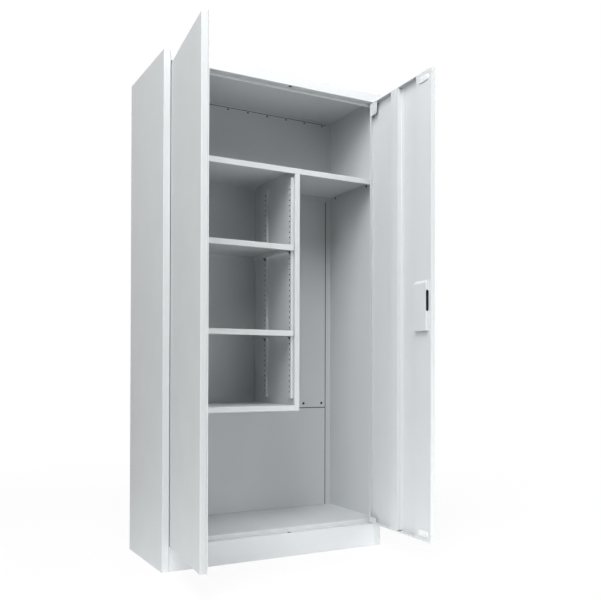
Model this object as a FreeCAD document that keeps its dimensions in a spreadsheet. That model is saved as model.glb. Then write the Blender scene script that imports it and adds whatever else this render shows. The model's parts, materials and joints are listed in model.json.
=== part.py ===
import FreeCAD, Part
import math
import os
from types import SimpleNamespace

import Sketcher
from FreeCAD import Placement, Rotation, Vector

# A two-door broom cupboard in folded sheet steel, in millimetres.
# X runs to the right, Y from the front to the back and Z up.  The origin is on the floor, in the
# middle of the carcass.  The doors stand open at rest; each door piece is drawn closed, about
# its own hinge pivot, and its Placement turns it open.

doc = FreeCAD.newDocument("BroomCupboard")

# ---------------------------------------------------------------- driving dimensions

DRIVING = [
    ("width", "900", "carcass, outside"),
    ("depth", "400", "carcass, outside"),
    ("height", "1800", "carcass, outside"),
    ("sheet", "0.8", "steel sheet of panels, shelves and doors"),
    ("bend", "0.7", "inside radius of every fold"),
    ("stile_width", "25", "front post of a side panel"),
    ("rebate", "22", "depth of the recess that the doors close into"),
    ("stop_lip", "13", "door stop behind the stiles and the fascia"),
    ("rear_flange", "24", "back flange of a side panel"),
    ("foot_flange", "20", "flanges that stand on the floor"),
    ("fascia_height", "34", "front of the roof above the doors"),
    ("roof_rear_drop", "30", "back flange of the roof"),
    ("roof_side_drop", "15", "side flanges of the roof"),
    ("plinth_height", "87", "kick plate under the doors"),
    ("floor_step", "16.5", "rise of the floor above the plinth"),
    ("weld_flange", "15", "hidden flange where two sheets are joined"),
    ("back_seam", "532.5", "height of the joint of the two back panels"),
    ("back_top_inset", "11", "roof to the top edge of the back panel"),
    ("backing_strip", "28", "strip behind the joint of the back panels"),
    ("rivet_pitch", "90", "pitch of the rivets along the back"),
    ("rivet_inset", "19", "rivet rows to the edge of the back panel or roof"),
    ("rivet_count", "10", "rivets in one row across the back"),
    ("rivet_radius", "2.2", "shanks of the rivets in the back"),
    ("rivet_head", "1.2", "height of their heads"),
    ("roof_clip_half", "4.4", "half the length of the oval clips along the roof"),
    ("seam_plug_radius", "5", "round plugs along the joint of the back"),
    ("flange_rivet_low", "250", "height of the side rivets in the lower back sheet"),
    ("flange_rivet_rise", "96.5", "joint of the back sheets to the next side rivets"),
    ("flange_rivet_inset", "79", "roof to the highest side rivets"),
    ("shelf_front", "34", "front of the carcass to the front of the shelves"),
    ("shelf_lip", "21", "front lip of a shelf"),
    ("shelf_hem", "9", "fold under a shelf's front lip"),
    ("shelf_flange", "15", "side flanges of a fixed shelf"),
    ("shelf_back_gap", "2", "fixed shelf to the back"),
    ("top_shelf_height", "1467", "floor to the top of the top shelf"),
    ("fixed_shelf_height", "562", "floor to the top of the lower fixed shelf"),
    ("divider_left", "79", "middle of the carcass to the divider's left face"),
    ("divider_width", "21.5", "front face of the divider"),
    ("divider_return", "12", "folds behind the divider's front face"),
    ("lip_end_gap", "5", "end of a shelf's lip to the wall beside it"),
    ("rack_depth", "10", "slotted rack, wall to face"),
    ("rack_width", "24", "slotted rack, front to back"),
    ("rack_front", "46.5", "front of the carcass to the front racks"),
    ("rack_rear", "264", "front of the carcass to the rear racks"),
    ("rack_foot", "26", "lower fixed shelf to the foot of a rack"),
    ("slot_pitch", "20.4", "pitch of the slots up a rack"),
    ("slot_width", "9", "slot, front to back"),
    ("slot_height", "5", "slot, bottom to top"),
    ("slot_margin", "25.5", "foot of a rack to its first slot"),
    ("slot_count", "40", "slots in one rack"),
    ("lower_shelf_slot", "10", "slot that carries the lower adjustable shelf"),
    ("upper_shelf_slot", "26", "slot that carries the upper adjustable shelf"),
    ("clip_drop", "8", "slot to the shelf edge that the clip carries"),
    ("clip_width", "8", "shelf clip, front to back"),
    ("clip_reach", "9", "shelf clip, rack face to its tip"),
    ("clip_sheet", "1.8", "steel of the shelf clips"),
    ("rack_clearance", "3", "adjustable shelf to the rack face"),
    ("bolt_radius", "2.5", "shank of the shelf bolts"),
    ("bolt_head_radius", "4.5", "head of the shelf bolts"),
    ("bolt_head_height", "2.6", "head of the shelf bolts"),
    ("bolt_front", "104", "front of the carcass to the front shelf bolts"),
    ("bolt_rear", "47", "back of the carcass to the rear shelf bolts"),
    ("bolt_drop", "10", "top of a fixed shelf to its bolts"),
    ("door_thickness", "18", "door, outer face to inner face"),
    ("door_gap_side", "2.5", "stile to door"),
    ("door_gap_middle", "3", "door to door"),
    ("door_gap_top", "6.5", "fascia to door"),
    ("door_gap_bottom", "4.5", "plinth to door"),
    ("door_lip_side", "12", "inner lip along the hinge edge"),
    ("door_lip_bottom", "5", "inner lip along the bottom edge"),
    ("pivot_in", "6.2", "hinge edge of a door to its pivot"),
    ("pivot_back", "5.4", "front of a closed door to its pivot"),
    ("left_open_angle", "96.3", "left door at rest, degrees from closed"),
    ("right_open_angle", "87.25", "right door at rest, degrees from closed"),
    ("hat_centre", "182", "hinge edge to the middle of the stiffener"),
    ("hat_width", "51", "face of the door stiffener"),
    ("hat_foot", "12", "feet of the stiffener and stile on the skin"),
    ("lock_stile_width", "94", "box along a door's free edge"),
    ("strip_reach", "14.5", "overlap strip beyond the left door's free edge"),
    ("strip_land", "14", "overlap strip on the left door's stile"),
    ("strip_thickness", "3", "overlap strip"),
    ("strip_joggle", "0.8", "step that clears the right door"),
    ("pin_radius", "2.5", "hinge pins"),
    ("pin_clearance", "0.06", "hinge pin to its hole in the door, on the radius"),
    ("pin_head_radius", "3", "head of a hinge pin"),
    ("pin_head_height", "2", "head of a hinge pin"),
    ("pin_tip", "2.5", "hinge pin beyond the hinge plate"),
    ("washer_radius", "4.2", "nylon washer under a door"),
    ("washer_gap", "0.2", "washer to the door"),
    ("plate_thickness", "2.5", "hinge plates"),
    ("plate_length", "50", "hinge plates, along the door"),
    ("upper_plate_leg", "48", "upright leg of an upper hinge plate"),
    ("lower_plate_leg", "22", "upright leg of a lower hinge plate"),
    ("plate_corner", "10", "rounded corners of the hinge plates"),
    ("plate_rivet", "43", "hinge edge to the rivet in the hinge plate"),
    ("rod_from_edge", "43", "free edge of the right door to the lock rods"),
    ("rod_depth", "10", "front of the right door to the lock rods"),
    ("rod_radius", "4", "lock rods"),
    ("rod_hole_radius", "5.5", "holes that the lock rods shoot through"),
    ("rod_inset", "2", "end of a drawn-back rod inside the door edge"),
    ("rod_clearance", "0.06", "lock rod to its guide, on the radius"),
    ("guide_centre", "27", "end of the right door to the middle of a rod guide"),
    ("guide_length", "58", "oval face of a rod guide, along the door"),
    ("guide_height", "21", "oval face of a rod guide, upright"),
    ("guide_proud", "1.5", "oval face of a rod guide above the stile"),
    ("guide_block", "26", "hidden block of a rod guide, along the door"),
    ("guide_block_height", "13", "hidden block of a rod guide, upright"),
    ("lock_height", "942", "floor to the handle's axis"),
    ("crank_radius", "14.14", "handle's axis to the drive pins"),
    ("drive_pin_radius", "2.5", "drive pins of the rod cam"),
    ("yoke_clearance", "0.7", "drive pin to the slot of a yoke"),
    ("yoke_thickness", "3", "yokes on the lock rods"),
    ("spindle_radius", "4", "spindle between the yokes"),
    ("journal_radius", "5", "spindle in the lock plate"),
    ("journal_clearance", "0.06", "spindle to the lock plate, on the radius"),
    ("lock_window_width", "44", "opening in the stile for the lock works"),
    ("lock_window_height", "90", "opening in the stile for the lock works"),
    ("lock_plate_width", "52", "lock plate on the stile"),
    ("lock_plate_height", "112", "lock plate on the stile"),
    ("lock_plate_thickness", "2", "lock plate on the stile"),
    ("lock_screw_inset", "5", "edges of the lock plate to its screws"),
    ("lock_screw_radius", "3.5", "heads of the lock plate's screws"),
    ("lock_screw_head", "2", "heads of the lock plate's screws"),
    ("cover_depth", "12", "lock cover above the stile"),
    ("cover_wall", "1.2", "wall of the lock cover"),
    ("cover_length", "77", "lock cover, along the door"),
    ("cover_edge", "13", "free edge of the door to the lock cover"),
    ("cover_above", "73", "lock cover above the handle's axis"),
    ("cover_below", "106", "lock cover below the handle's axis"),
    ("cover_chamfer", "10", "sloping top of the lock cover"),
    ("tongue_slot_height", "72", "slot in the side of the lock cover"),
    ("tongue_slot_width", "8", "slot in the side of the lock cover"),
    ("tongue_length", "42", "handle's axis to the tongue's tip"),
    ("tongue_width", "8", "tongue that hooks the left door"),
    ("tongue_thickness", "3", "tongue that hooks the left door"),
    ("rosette_width", "46", "handle plate"),
    ("rosette_above", "40", "handle plate above the handle's axis"),
    ("rosette_below", "90", "handle plate below the handle's axis"),
    ("rosette_depth", "3", "handle plate on the door"),
    ("hub_radius", "14", "hub of the handle"),
    ("hub_journal_radius", "9", "hub of the handle in its plate"),
    ("hub_proud", "13", "front of the right door to the front of the hub"),
    ("hub_gap", "0.3", "hub to the handle plate"),
    ("lever_length", "105", "handle's axis to the tip of the lever"),
    ("lever_proud", "28", "front of the right door to the front of the lever"),
    ("lever_thickness", "8", "lever, front to back"),
    ("lever_height", "20", "lever, bottom to top"),
    ("crank_start", "10", "handle's axis to the start of the lever's crank"),
    ("crank_end", "28", "handle's axis to the end of the lever's crank"),
    ("key_radius", "6", "key plug in the hub"),
    ("key_length", "6", "key plug, front to back"),
    ("key_proud", "1", "key plug beyond the hub"),
    ("key_slot_width", "2", "key slot"),
    ("key_slot_height", "8", "key slot"),
    ("key_slot_depth", "4", "key slot"),
    ("spindle_seat", "6", "spindle in the hub, beyond the front of the door"),
    ("cam_back", "5", "front of the right door to the back of the rod cam"),
    ("cam_thickness", "2.6", "rod cam"),
    ("yoke_wall", "2.6", "yoke around its slot"),
    ("yoke_arm_start", "8", "handle's axis to the foot of a yoke's arm"),
    ("yoke_arm_end", "22", "handle's axis to the end of a lock rod"),
]

sheet_of_sizes = doc.addObject("Spreadsheet::Sheet", "sizes")
for row, (alias, number, meaning) in enumerate(DRIVING, start=1):
    sheet_of_sizes.set("A%d" % row, alias)
    sheet_of_sizes.set("B%d" % row, number)
    sheet_of_sizes.set("C%d" % row, meaning)
    sheet_of_sizes.setAlias("B%d" % row, alias)
doc.recompute()


class Length:
    """A size that carries its number and the spreadsheet formula that gives it."""

    def __init__(self, formula, number):
        self.formula = formula
        self.number = number

    def __add__(self, other):
        other = as_length(other)
        return Length("(%s + %s)" % (self.formula, other.formula), self.number + other.number)

    def __sub__(self, other):
        other = as_length(other)
        return Length("(%s - %s)" % (self.formula, other.formula), self.number - other.number)

    def __mul__(self, other):
        other = as_length(other)
        return Length("(%s * %s)" % (self.formula, other.formula), self.number * other.number)

    def __truediv__(self, other):
        other = as_length(other)
        return Length("(%s / %s)" % (self.formula, other.formula), self.number / other.number)

    def __rsub__(self, other):
        return as_length(other) - self

    def __neg__(self):
        return self * -1

    __radd__ = __add__
    __rmul__ = __mul__


def as_length(value):
    """Give a plain number the form of a Length."""
    if isinstance(value, Length):
        return value
    return Length("(%r)" % float(value), float(value))


d = SimpleNamespace()
for alias, number, meaning in DRIVING:
    setattr(d, alias, Length("sizes.%s" % alias, float(number)))

# ---------------------------------------------------------------- drawing helpers

NORMAL_SIGN = {"XY_Plane": 1, "XZ_Plane": -1, "YZ_Plane": 1}
AXIS_OF_PLANE = {"XY_Plane": Vector(0, 0, 1), "XZ_Plane": Vector(0, 1, 0), "YZ_Plane": Vector(1, 0, 0)}
TOUCH = 0.01
PAST = 1.0
STRAIGHT_LEFT = 0.1


def bind(thing, path, length):
    """Tie one property of a document object to its spreadsheet formula."""
    thing.setExpression(path, as_length(length).formula)


def new_body(label):
    """Start the PartDesign body of one piece."""
    body = doc.addObject("PartDesign::Body", label)
    body.Label = label
    body.AllowCompound = True
    return body


def new_sketch(body, role, position):
    """Put an empty sketch on one of the body's own planes, moved along that plane's axis."""
    plane = [item for item in body.Origin.OriginFeatures if item.Role == role][0]
    sketch = body.newObject("Sketcher::SketchObject", "Outline")
    sketch.AttachmentSupport = [(plane, "")]
    sketch.MapMode = "FlatFace"
    bind(sketch, "AttachmentOffset.Base.z", NORMAL_SIGN[role] * as_length(position))
    return sketch


def pin_point(sketch, geometry, end, point):
    """Fix one point of a sketch at a pair of lengths from the sketch's origin."""
    for kind, length in (("DistanceX", as_length(point[0])), ("DistanceY", as_length(point[1]))):
        index = sketch.addConstraint(Sketcher.Constraint(kind, -1, 1, geometry, end, length.number))
        bind(sketch, "Constraints[%d]" % index, length)


def draw_polygon(sketch, points):
    """Draw a closed outline whose corners follow the spreadsheet."""
    corners = [Vector(as_length(a).number, as_length(b).number, 0) for a, b in points]
    first = len(sketch.Geometry)
    count = len(corners)
    lines = [Part.LineSegment(corners[i], corners[(i + 1) % count]) for i in range(count)]
    sketch.addGeometry(lines, False)
    for i in range(count):
        following = first + (i + 1) % count
        sketch.addConstraint(Sketcher.Constraint("Coincident", first + i, 2, following, 1))
    for i, point in enumerate(points):
        pin_point(sketch, first + i, 1, point)


def draw_circle(sketch, centre, radius):
    """Draw a circle whose centre and radius follow the spreadsheet."""
    radius = as_length(radius)
    middle = Vector(as_length(centre[0]).number, as_length(centre[1]).number, 0)
    circle = sketch.addGeometry(Part.Circle(middle, Vector(0, 0, 1), radius.number), False)
    pin_point(sketch, circle, 3, centre)
    index = sketch.addConstraint(Sketcher.Constraint("Radius", circle, radius.number))
    bind(sketch, "Constraints[%d]" % index, radius)


def thicken(body, kind, role, low, high, draw):
    """Pad or pocket what draw() puts in a sketch, from low to high along the plane's axis."""
    low, high = as_length(low), as_length(high)
    from_low = (kind == "Pad") == (NORMAL_SIGN[role] > 0)
    sketch = new_sketch(body, role, low if from_low else high)
    draw(sketch)
    feature = body.newObject("PartDesign::" + kind, kind)
    feature.Profile = sketch
    bind(feature, "Length", high - low)
    body.Tip = feature
    return feature


def block(body, role, points, low, high):
    """Add the prism over one polygon."""
    return thicken(body, "Pad", role, low, high, lambda sketch: draw_polygon(sketch, points))


def blocks(body, role, outlines, low, high):
    """Add the prisms over several separate polygons."""
    def draw(sketch):
        for points in outlines:
            draw_polygon(sketch, points)
    return thicken(body, "Pad", role, low, high, draw)


def discs(body, role, centres, radius, low, high):
    """Add one cylinder over each centre."""
    def draw(sketch):
        for centre in centres:
            draw_circle(sketch, centre, radius)
    return thicken(body, "Pad", role, low, high, draw)


def cut(body, role, low, high, draw):
    """Cut a drawn shape out of the body, and make sure that it took something away."""
    doc.recompute()
    before = body.Shape.Volume
    feature = thicken(body, "Pocket", role, low, high, draw)
    doc.recompute()
    if not body.Shape.Volume < before - TOUCH:
        raise RuntimeError("a cut in %s removes nothing" % body.Label)
    return feature


def cut_block(body, role, points, low, high):
    """Cut the prism over one polygon."""
    return cut(body, role, low, high, lambda sketch: draw_polygon(sketch, points))


def cut_discs(body, role, centres, radius, low, high):
    """Cut one round hole at each centre."""
    def draw(sketch):
        for centre in centres:
            draw_circle(sketch, centre, radius)
    return cut(body, role, low, high, draw)


def rectangle(left, right, bottom, top):
    """Corners of an upright rectangle."""
    return [(left, bottom), (right, bottom), (right, top), (left, top)]


def flat_position(role, point):
    """The two sketch coordinates of a point in the body's frame."""
    if role == "XY_Plane":
        return (point.x, point.y)
    if role == "XZ_Plane":
        return (point.x, point.z)
    return (point.y, point.z)


def upright_edges(body, role, corners):
    """Names of the straight edges that stand on the given corners of an outline."""
    names = []
    axis = AXIS_OF_PLANE[role]
    for number, edge in enumerate(body.Tip.Shape.Edges, start=1):
        if not isinstance(edge.Curve, Part.Line) or abs(edge.Curve.Direction.dot(axis)) < 0.999:
            continue
        spot = flat_position(role, edge.Vertexes[0].Point)
        for corner in corners:
            reach = math.hypot(spot[0] - as_length(corner[0]).number, spot[1] - as_length(corner[1]).number)
            if reach < TOUCH:
                names.append("Edge%d" % number)
                break
    return names


def round_edges(body, names, radius):
    """Add a fillet on the named edges of the body's last feature."""
    base = body.Tip
    fillet = body.newObject("PartDesign::Fillet", "Round")
    fillet.Base = (base, names)
    bind(fillet, "Radius", radius)
    body.Tip = fillet


def round_corners(body, role, corners, radius):
    """Round the edges that stand on the given corners of an outline."""
    if not corners:
        return
    doc.recompute()
    round_edges(body, upright_edges(body, role, corners), radius)


def round_rims(body, chosen, radius):
    """Round every circular edge whose centre and radius pass the test."""
    doc.recompute()
    names = []
    for number, edge in enumerate(body.Tip.Shape.Edges, start=1):
        if isinstance(edge.Curve, Part.Circle) and chosen(edge.Curve.Center, edge.Curve.Radius):
            names.append("Edge%d" % number)
    round_edges(body, names, radius)


def folded(body, role, path, side, low, high, thickness=None):
    """Fold a sheet along a square path and extrude it; side is +1 for thickness on the left."""
    t = d.sheet if thickness is None else thickness
    path = [(as_length(a), as_length(b)) for a, b in path]
    steps = []
    for start, end in zip(path, path[1:]):
        run = (end[0].number - start[0].number, end[1].number - start[1].number)
        size = math.hypot(*run)
        steps.append((run[0] / size, run[1] / size))
    normals = [(-side * step[1], side * step[0]) for step in steps]
    inner_skin = [(path[0][0] + t * normals[0][0], path[0][1] + t * normals[0][1])]
    tight, wide = [], []
    for i in range(1, len(path) - 1):
        before, after = normals[i - 1], normals[i]
        moved = (path[i][0] + t * (before[0] + after[0]), path[i][1] + t * (before[1] + after[1]))
        inner_skin.append(moved)
        turns_in = (steps[i - 1][0] * steps[i][1] - steps[i - 1][1] * steps[i][0]) * side > 0
        tight.append(moved if turns_in else path[i])
        wide.append(path[i] if turns_in else moved)
    inner_skin.append((path[-1][0] + t * normals[-1][0], path[-1][1] + t * normals[-1][1]))
    block(body, role, path + inner_skin[::-1], low, high)
    round_corners(body, role, tight, d.bend)
    round_corners(body, role, wide, d.bend + t)


# ---------------------------------------------------------------- shared places on the carcass

FRONT = -1 * d.depth / 2
HALF = d.width / 2
WALL = HALF - d.sheet
FASCIA_BOTTOM = d.height - d.fascia_height
FLOOR = d.plinth_height + d.floor_step
FLANGE_BACK = d.depth - 2 * d.sheet
FLANGE_FRONT = d.depth - 3 * d.sheet
STILE_INSIDE = HALF - d.stile_width
BETWEEN_POSTS = STILE_INSIDE - d.bend
BETWEEN_STOPS = STILE_INSIDE - d.stop_lip
TOP_SHELF_UNDER = d.top_shelf_height - d.shelf_lip
FIXED_SHELF_UNDER = d.fixed_shelf_height - d.shelf_lip
DIVIDER_RIGHT = d.divider_left + d.divider_width
RACK_BOTTOM = d.fixed_shelf_height + d.rack_foot
FIRST_SLOT = RACK_BOTTOM + d.slot_margin
RACK_TOP = FIRST_SLOT + (d.slot_count - 1) * d.slot_pitch + d.slot_margin
PIVOT_X = STILE_INSIDE - d.door_gap_side - d.pivot_in
DOOR_BOTTOM = d.plinth_height + d.door_gap_bottom
DOOR_TOP = FASCIA_BOTTOM - d.door_gap_top
DOOR_WIDTH = STILE_INSIDE - d.door_gap_side - d.door_gap_middle / 2
ROD_X = d.door_gap_middle / 2 + d.rod_from_edge
FLANGE_RIVET_X = HALF - d.rear_flange * 3 / 4
RACK_MIDDLE = (d.rack_front + d.rack_rear + d.rack_width) / 2


def deep(distance):
    """Y of a place that lies so far behind the front of the carcass."""
    return FRONT + distance


def flange_rivet_heights():
    """Heights of the rivets up a rear flange: one in the lower sheet, three in the upper."""
    first = d.back_seam + d.flange_rivet_rise
    last = d.height - d.flange_rivet_inset
    return [d.flange_rivet_low, first, (first + last) / 2, last]


# ---------------------------------------------------------------- carcass

def side_panel(label, side):
    """Side wall in one sheet: front post, door stop and rear flange; side is -1 on the left."""
    body = new_body(label)

    def at(inward, back):
        return (side * (HALF - inward), deep(back))

    path = [
        at(d.rear_flange, FLANGE_BACK),
        at(0, FLANGE_BACK),
        at(0, 0),
        at(d.stile_width, 0),
        at(d.stile_width, d.rebate),
        at(d.stile_width + d.stop_lip, d.rebate),
    ]
    folded(body, "XY_Plane", path, -side, 0, d.height)
    low_corner = at(d.sheet / 2, d.sheet)
    far_corner = at(d.foot_flange, FLANGE_FRONT)
    foot = rectangle(low_corner[0], far_corner[0], low_corner[1], far_corner[1])
    block(body, "XY_Plane", foot, 0, d.sheet)
    wall, lip = at(d.sheet, d.sheet), at(d.stile_width + d.stop_lip + PAST, d.depth)
    under_roof = rectangle(wall[0], lip[0], wall[1], lip[1])
    cut_block(body, "XY_Plane", under_roof, d.height - d.sheet, d.height + PAST)
    spots = [(side * FLANGE_RIVET_X, height) for height in flange_rivet_heights()]
    cut_discs(body, "XZ_Plane", spots, d.rivet_radius, deep(FLANGE_FRONT - PAST), deep(FLANGE_BACK + PAST))
    return body


def roof_panel():
    """Top in one sheet: fascia, ledge, door stop and rear flange, with side flanges."""
    body = new_body("roof_panel")
    path = [
        (deep(d.rebate), FASCIA_BOTTOM - d.stop_lip),
        (deep(d.rebate), FASCIA_BOTTOM),
        (deep(0), FASCIA_BOTTOM),
        (deep(0), d.height),
        (deep(d.depth), d.height),
        (deep(d.depth), d.height - d.roof_rear_drop),
    ]
    folded(body, "YZ_Plane", path, -1, -1 * BETWEEN_POSTS, BETWEEN_POSTS)
    plate = rectangle(-1 * WALL, WALL, deep(d.sheet), deep(d.depth - d.sheet))
    block(body, "XY_Plane", plate, d.height - d.sheet, d.height)
    low, high = d.height - d.roof_side_drop, d.height
    drops = [rectangle(-1 * WALL, d.sheet - WALL, low, high), rectangle(WALL - d.sheet, WALL, low, high)]
    blocks(body, "XZ_Plane", drops, deep(d.rebate), deep(FLANGE_FRONT - d.bend))
    skirt = rectangle(-1 * WALL, WALL, d.height - d.roof_rear_drop, d.height - d.bend - d.sheet)
    block(body, "XZ_Plane", skirt, deep(d.depth - d.sheet), deep(d.depth))
    for low, high in ((-1 * STILE_INSIDE, -1 * BETWEEN_STOPS), (BETWEEN_STOPS, STILE_INSIDE)):
        corner = rectangle(low, high, FASCIA_BOTTOM - d.stop_lip - PAST, FASCIA_BOTTOM + 2 * d.sheet)
        cut_block(body, "XZ_Plane", corner, deep(d.rebate), deep(d.rebate + 2 * d.sheet))
    clip_row = [(x, d.height - d.rivet_inset) for x in rivet_columns()]
    cut_discs(body, "XZ_Plane", clip_row, d.rivet_radius, deep(d.depth - 2 * d.sheet), deep(d.depth + PAST))
    ledge = (FASCIA_BOTTOM - d.sheet, FASCIA_BOTTOM + 2 * d.sheet)
    cut_discs(body, "XY_Plane", pin_spots(), d.pin_radius, *ledge)
    cut_discs(body, "XY_Plane", [(ROD_X, deep(d.rod_depth))], d.rod_hole_radius, *ledge)
    return body


def pin_spots():
    """Plan positions of the left and right hinge pins."""
    return [(-1 * PIVOT_X, deep(d.pivot_back)), (PIVOT_X, deep(d.pivot_back))]


def plinth():
    """Kick plate between the posts, with the ledge that the hinge pins and the rod go through."""
    body = new_body("plinth")
    path = [
        (deep(d.foot_flange), as_length(0)),
        (deep(0), as_length(0)),
        (deep(0), d.plinth_height),
        (deep(d.rebate), d.plinth_height),
        (deep(d.rebate), d.plinth_height - d.weld_flange),
    ]
    folded(body, "YZ_Plane", path, -1, -1 * BETWEEN_POSTS, BETWEEN_POSTS)
    ledge = (d.plinth_height - 2 * d.sheet, d.plinth_height + d.sheet)
    cut_discs(body, "XY_Plane", pin_spots(), d.pin_radius, *ledge)
    cut_discs(body, "XY_Plane", [(ROD_X, deep(d.rod_depth))], d.rod_hole_radius, *ledge)
    return body


def floor_panel():
    """Floor tray; its front flange stands on the plinth and stops the doors."""
    body = new_body("floor_panel")
    path = [
        (deep(d.rebate), d.plinth_height - d.weld_flange),
        (deep(d.rebate), FLOOR),
        (deep(FLANGE_FRONT), FLOOR),
        (deep(FLANGE_FRONT), FLOOR - d.weld_flange),
    ]
    folded(body, "YZ_Plane", path, -1, -1 * BETWEEN_STOPS, BETWEEN_STOPS)
    sides = [
        (-1 * WALL, FLOOR - d.weld_flange),
        (-1 * WALL, FLOOR),
        (WALL, FLOOR),
        (WALL, FLOOR - d.weld_flange),
        (WALL - d.sheet, FLOOR - d.weld_flange),
        (WALL - d.sheet, FLOOR - d.sheet),
        (d.sheet - WALL, FLOOR - d.sheet),
        (d.sheet - WALL, FLOOR - d.weld_flange),
    ]
    block(body, "XZ_Plane", sides, deep(d.rebate + d.sheet), deep(FLANGE_FRONT - d.bend))
    return body


def rivet_columns():
    """X of each rivet across the back, symmetric about the middle."""
    count = int(d.rivet_count.number)
    return [d.rivet_pitch * (number - (count - 1) / 2) for number in range(count)]


def back_panels():
    """Upper back sheet, and the lower one with the strip that backs their joint."""
    upper = new_body("upper_back_panel")
    sheet = rectangle(-1 * HALF, HALF, d.back_seam, d.height - d.back_top_inset)
    block(upper, "XZ_Plane", sheet, deep(FLANGE_BACK), deep(FLANGE_BACK + d.sheet))
    lower = new_body("lower_back_panel")
    sheet = rectangle(-1 * HALF, HALF, 0, d.back_seam)
    block(lower, "XZ_Plane", sheet, deep(FLANGE_BACK), deep(FLANGE_BACK + d.sheet))
    strip = rectangle(d.rear_flange - HALF, HALF - d.rear_flange,
                      d.back_seam - d.backing_strip, d.back_seam + d.backing_strip)
    block(lower, "XZ_Plane", strip, deep(FLANGE_BACK + d.sheet), deep(d.depth))
    seam_row = [(x, d.back_seam + d.rivet_inset) for x in rivet_columns()]
    roof_row = [(x, d.height - d.rivet_inset) for x in rivet_columns()]
    sides = [(x, z) for x in (-1 * FLANGE_RIVET_X, FLANGE_RIVET_X) for z in flange_rivet_heights()]
    low_side, high_side = [sides[0], sides[4]], sides[1:4] + sides[5:]
    radius = d.rivet_radius
    cut_discs(upper, "XZ_Plane", seam_row + roof_row + high_side, radius, deep(FLANGE_BACK - PAST), deep(d.depth))
    cut_discs(lower, "XZ_Plane", seam_row + low_side, radius, deep(FLANGE_BACK - PAST), deep(d.depth + PAST))
    return [upper, lower]


def tray(label, left, right, top, lip_left, lip_right, side_flange, rear_gap):
    """Shelf as a tray turned upside down, with a hemmed front lip."""
    body = new_body(label)
    front, rear = deep(d.shelf_front), deep(FLANGE_FRONT - rear_gap)
    path = [
        (front + d.shelf_hem, top - d.shelf_lip),
        (front, top - d.shelf_lip),
        (front, top),
        (rear, top),
        (rear, top - d.shelf_lip),
    ]
    folded(body, "YZ_Plane", path, -1, left, right)
    sides = [
        (left, top - side_flange),
        (left, top),
        (right, top),
        (right, top - side_flange),
        (right - d.sheet, top - side_flange),
        (right - d.sheet, top - d.sheet),
        (left + d.sheet, top - d.sheet),
        (left + d.sheet, top - side_flange),
    ]
    block(body, "XZ_Plane", sides, front + d.shelf_hem + d.sheet, rear)
    for low, high in lip_ends(left, right, lip_left, lip_right):
        ear = [
            (front, top - d.shelf_lip),
            (front, top),
            (front + d.shelf_hem, top),
            (front + d.shelf_hem, top - d.sheet),
            (front + d.sheet, top - d.sheet),
            (front + d.sheet, top - d.shelf_lip),
        ]
        block(body, "YZ_Plane", ear, low, high)
    return body


def lip_ends(left, right, lip_left, lip_right):
    """Stretches by which a shelf's front lip runs past its tray, left and right."""
    ends = []
    if lip_left is not None:
        ends.append((lip_left, left))
    if lip_right is not None:
        ends.append((right, lip_right))
    return ends


def shelves():
    """Two fixed shelves, and two that hang on clips in the racks."""
    top = tray("top_shelf", -1 * WALL, WALL, d.top_shelf_height, None, None,
               d.shelf_flange, d.shelf_back_gap)
    fixed = tray("fixed_shelf", -1 * WALL, d.divider_left, d.fixed_shelf_height, None, None,
                 d.shelf_flange, d.shelf_back_gap)
    cut_bolt_holes(top, [-1 * WALL, WALL], d.top_shelf_height)
    cut_bolt_holes(fixed, [-1 * WALL, d.divider_left], d.fixed_shelf_height)
    made = [top, fixed]
    left = d.rack_depth + d.rack_clearance - WALL
    right = d.divider_left - d.rack_depth - d.rack_clearance
    for label, slot in (("lower_adjustable_shelf", d.lower_shelf_slot),
                        ("upper_adjustable_shelf", d.upper_shelf_slot)):
        shelf = tray(label, left, right, shelf_edge(slot) + d.shelf_lip,
                     d.lip_end_gap - WALL, d.divider_left - d.lip_end_gap,
                     d.shelf_lip, d.shelf_back_gap + d.lip_end_gap)
        middle = deep(RACK_MIDDLE)
        notch = rectangle(middle - d.clip_width / 2, middle + d.clip_width / 2,
                          shelf_edge(slot) - PAST, shelf_edge(slot) + d.shelf_flange - d.clip_drop)
        cut_block(shelf, "YZ_Plane", notch, left - PAST, right + PAST)
        made.append(shelf)
    return made


def shelf_edge(slot):
    """Height of the lower edge of a shelf whose clips hang in the given slot."""
    return FIRST_SLOT + slot * d.slot_pitch + d.clip_drop


def cut_bolt_holes(body, walls, top):
    """Holes for the bolts through both side flanges of a fixed shelf."""
    for wall in walls:
        cut_discs(body, "YZ_Plane", bolt_spots(top), d.bolt_radius, wall - 2 * d.sheet, wall + 2 * d.sheet)


def divider():
    """Upright between the shelves and the broom bay: a channel that opens to the right."""
    body = new_body("divider")
    rear = deep(FLANGE_FRONT - d.shelf_back_gap)
    front = deep(d.shelf_front)
    path = [
        (DIVIDER_RIGHT, front + d.divider_return),
        (DIVIDER_RIGHT, front),
        (d.divider_left, front),
        (d.divider_left, rear),
        (DIVIDER_RIGHT, rear),
    ]
    folded(body, "XY_Plane", path, -1, FIXED_SHELF_UNDER, TOP_SHELF_UNDER)
    under = d.top_shelf_height - d.sheet
    behind_hem = front + d.shelf_hem + d.sheet
    web = rectangle(d.divider_left, d.divider_left + d.sheet, behind_hem, rear - d.shelf_hem)
    block(body, "XY_Plane", web, TOP_SHELF_UNDER, under)
    head = rectangle(d.divider_left, DIVIDER_RIGHT, behind_hem, rear - d.shelf_hem)
    block(body, "XY_Plane", head, under - d.sheet, under)
    floor = rectangle(d.divider_left + d.sheet, DIVIDER_RIGHT, front + d.sheet, rear - d.sheet)
    block(body, "XY_Plane", floor, FIXED_SHELF_UNDER, FIXED_SHELF_UNDER + d.sheet)
    cut_bolt_holes(body, [d.divider_left], d.fixed_shelf_height)
    return body


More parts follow.
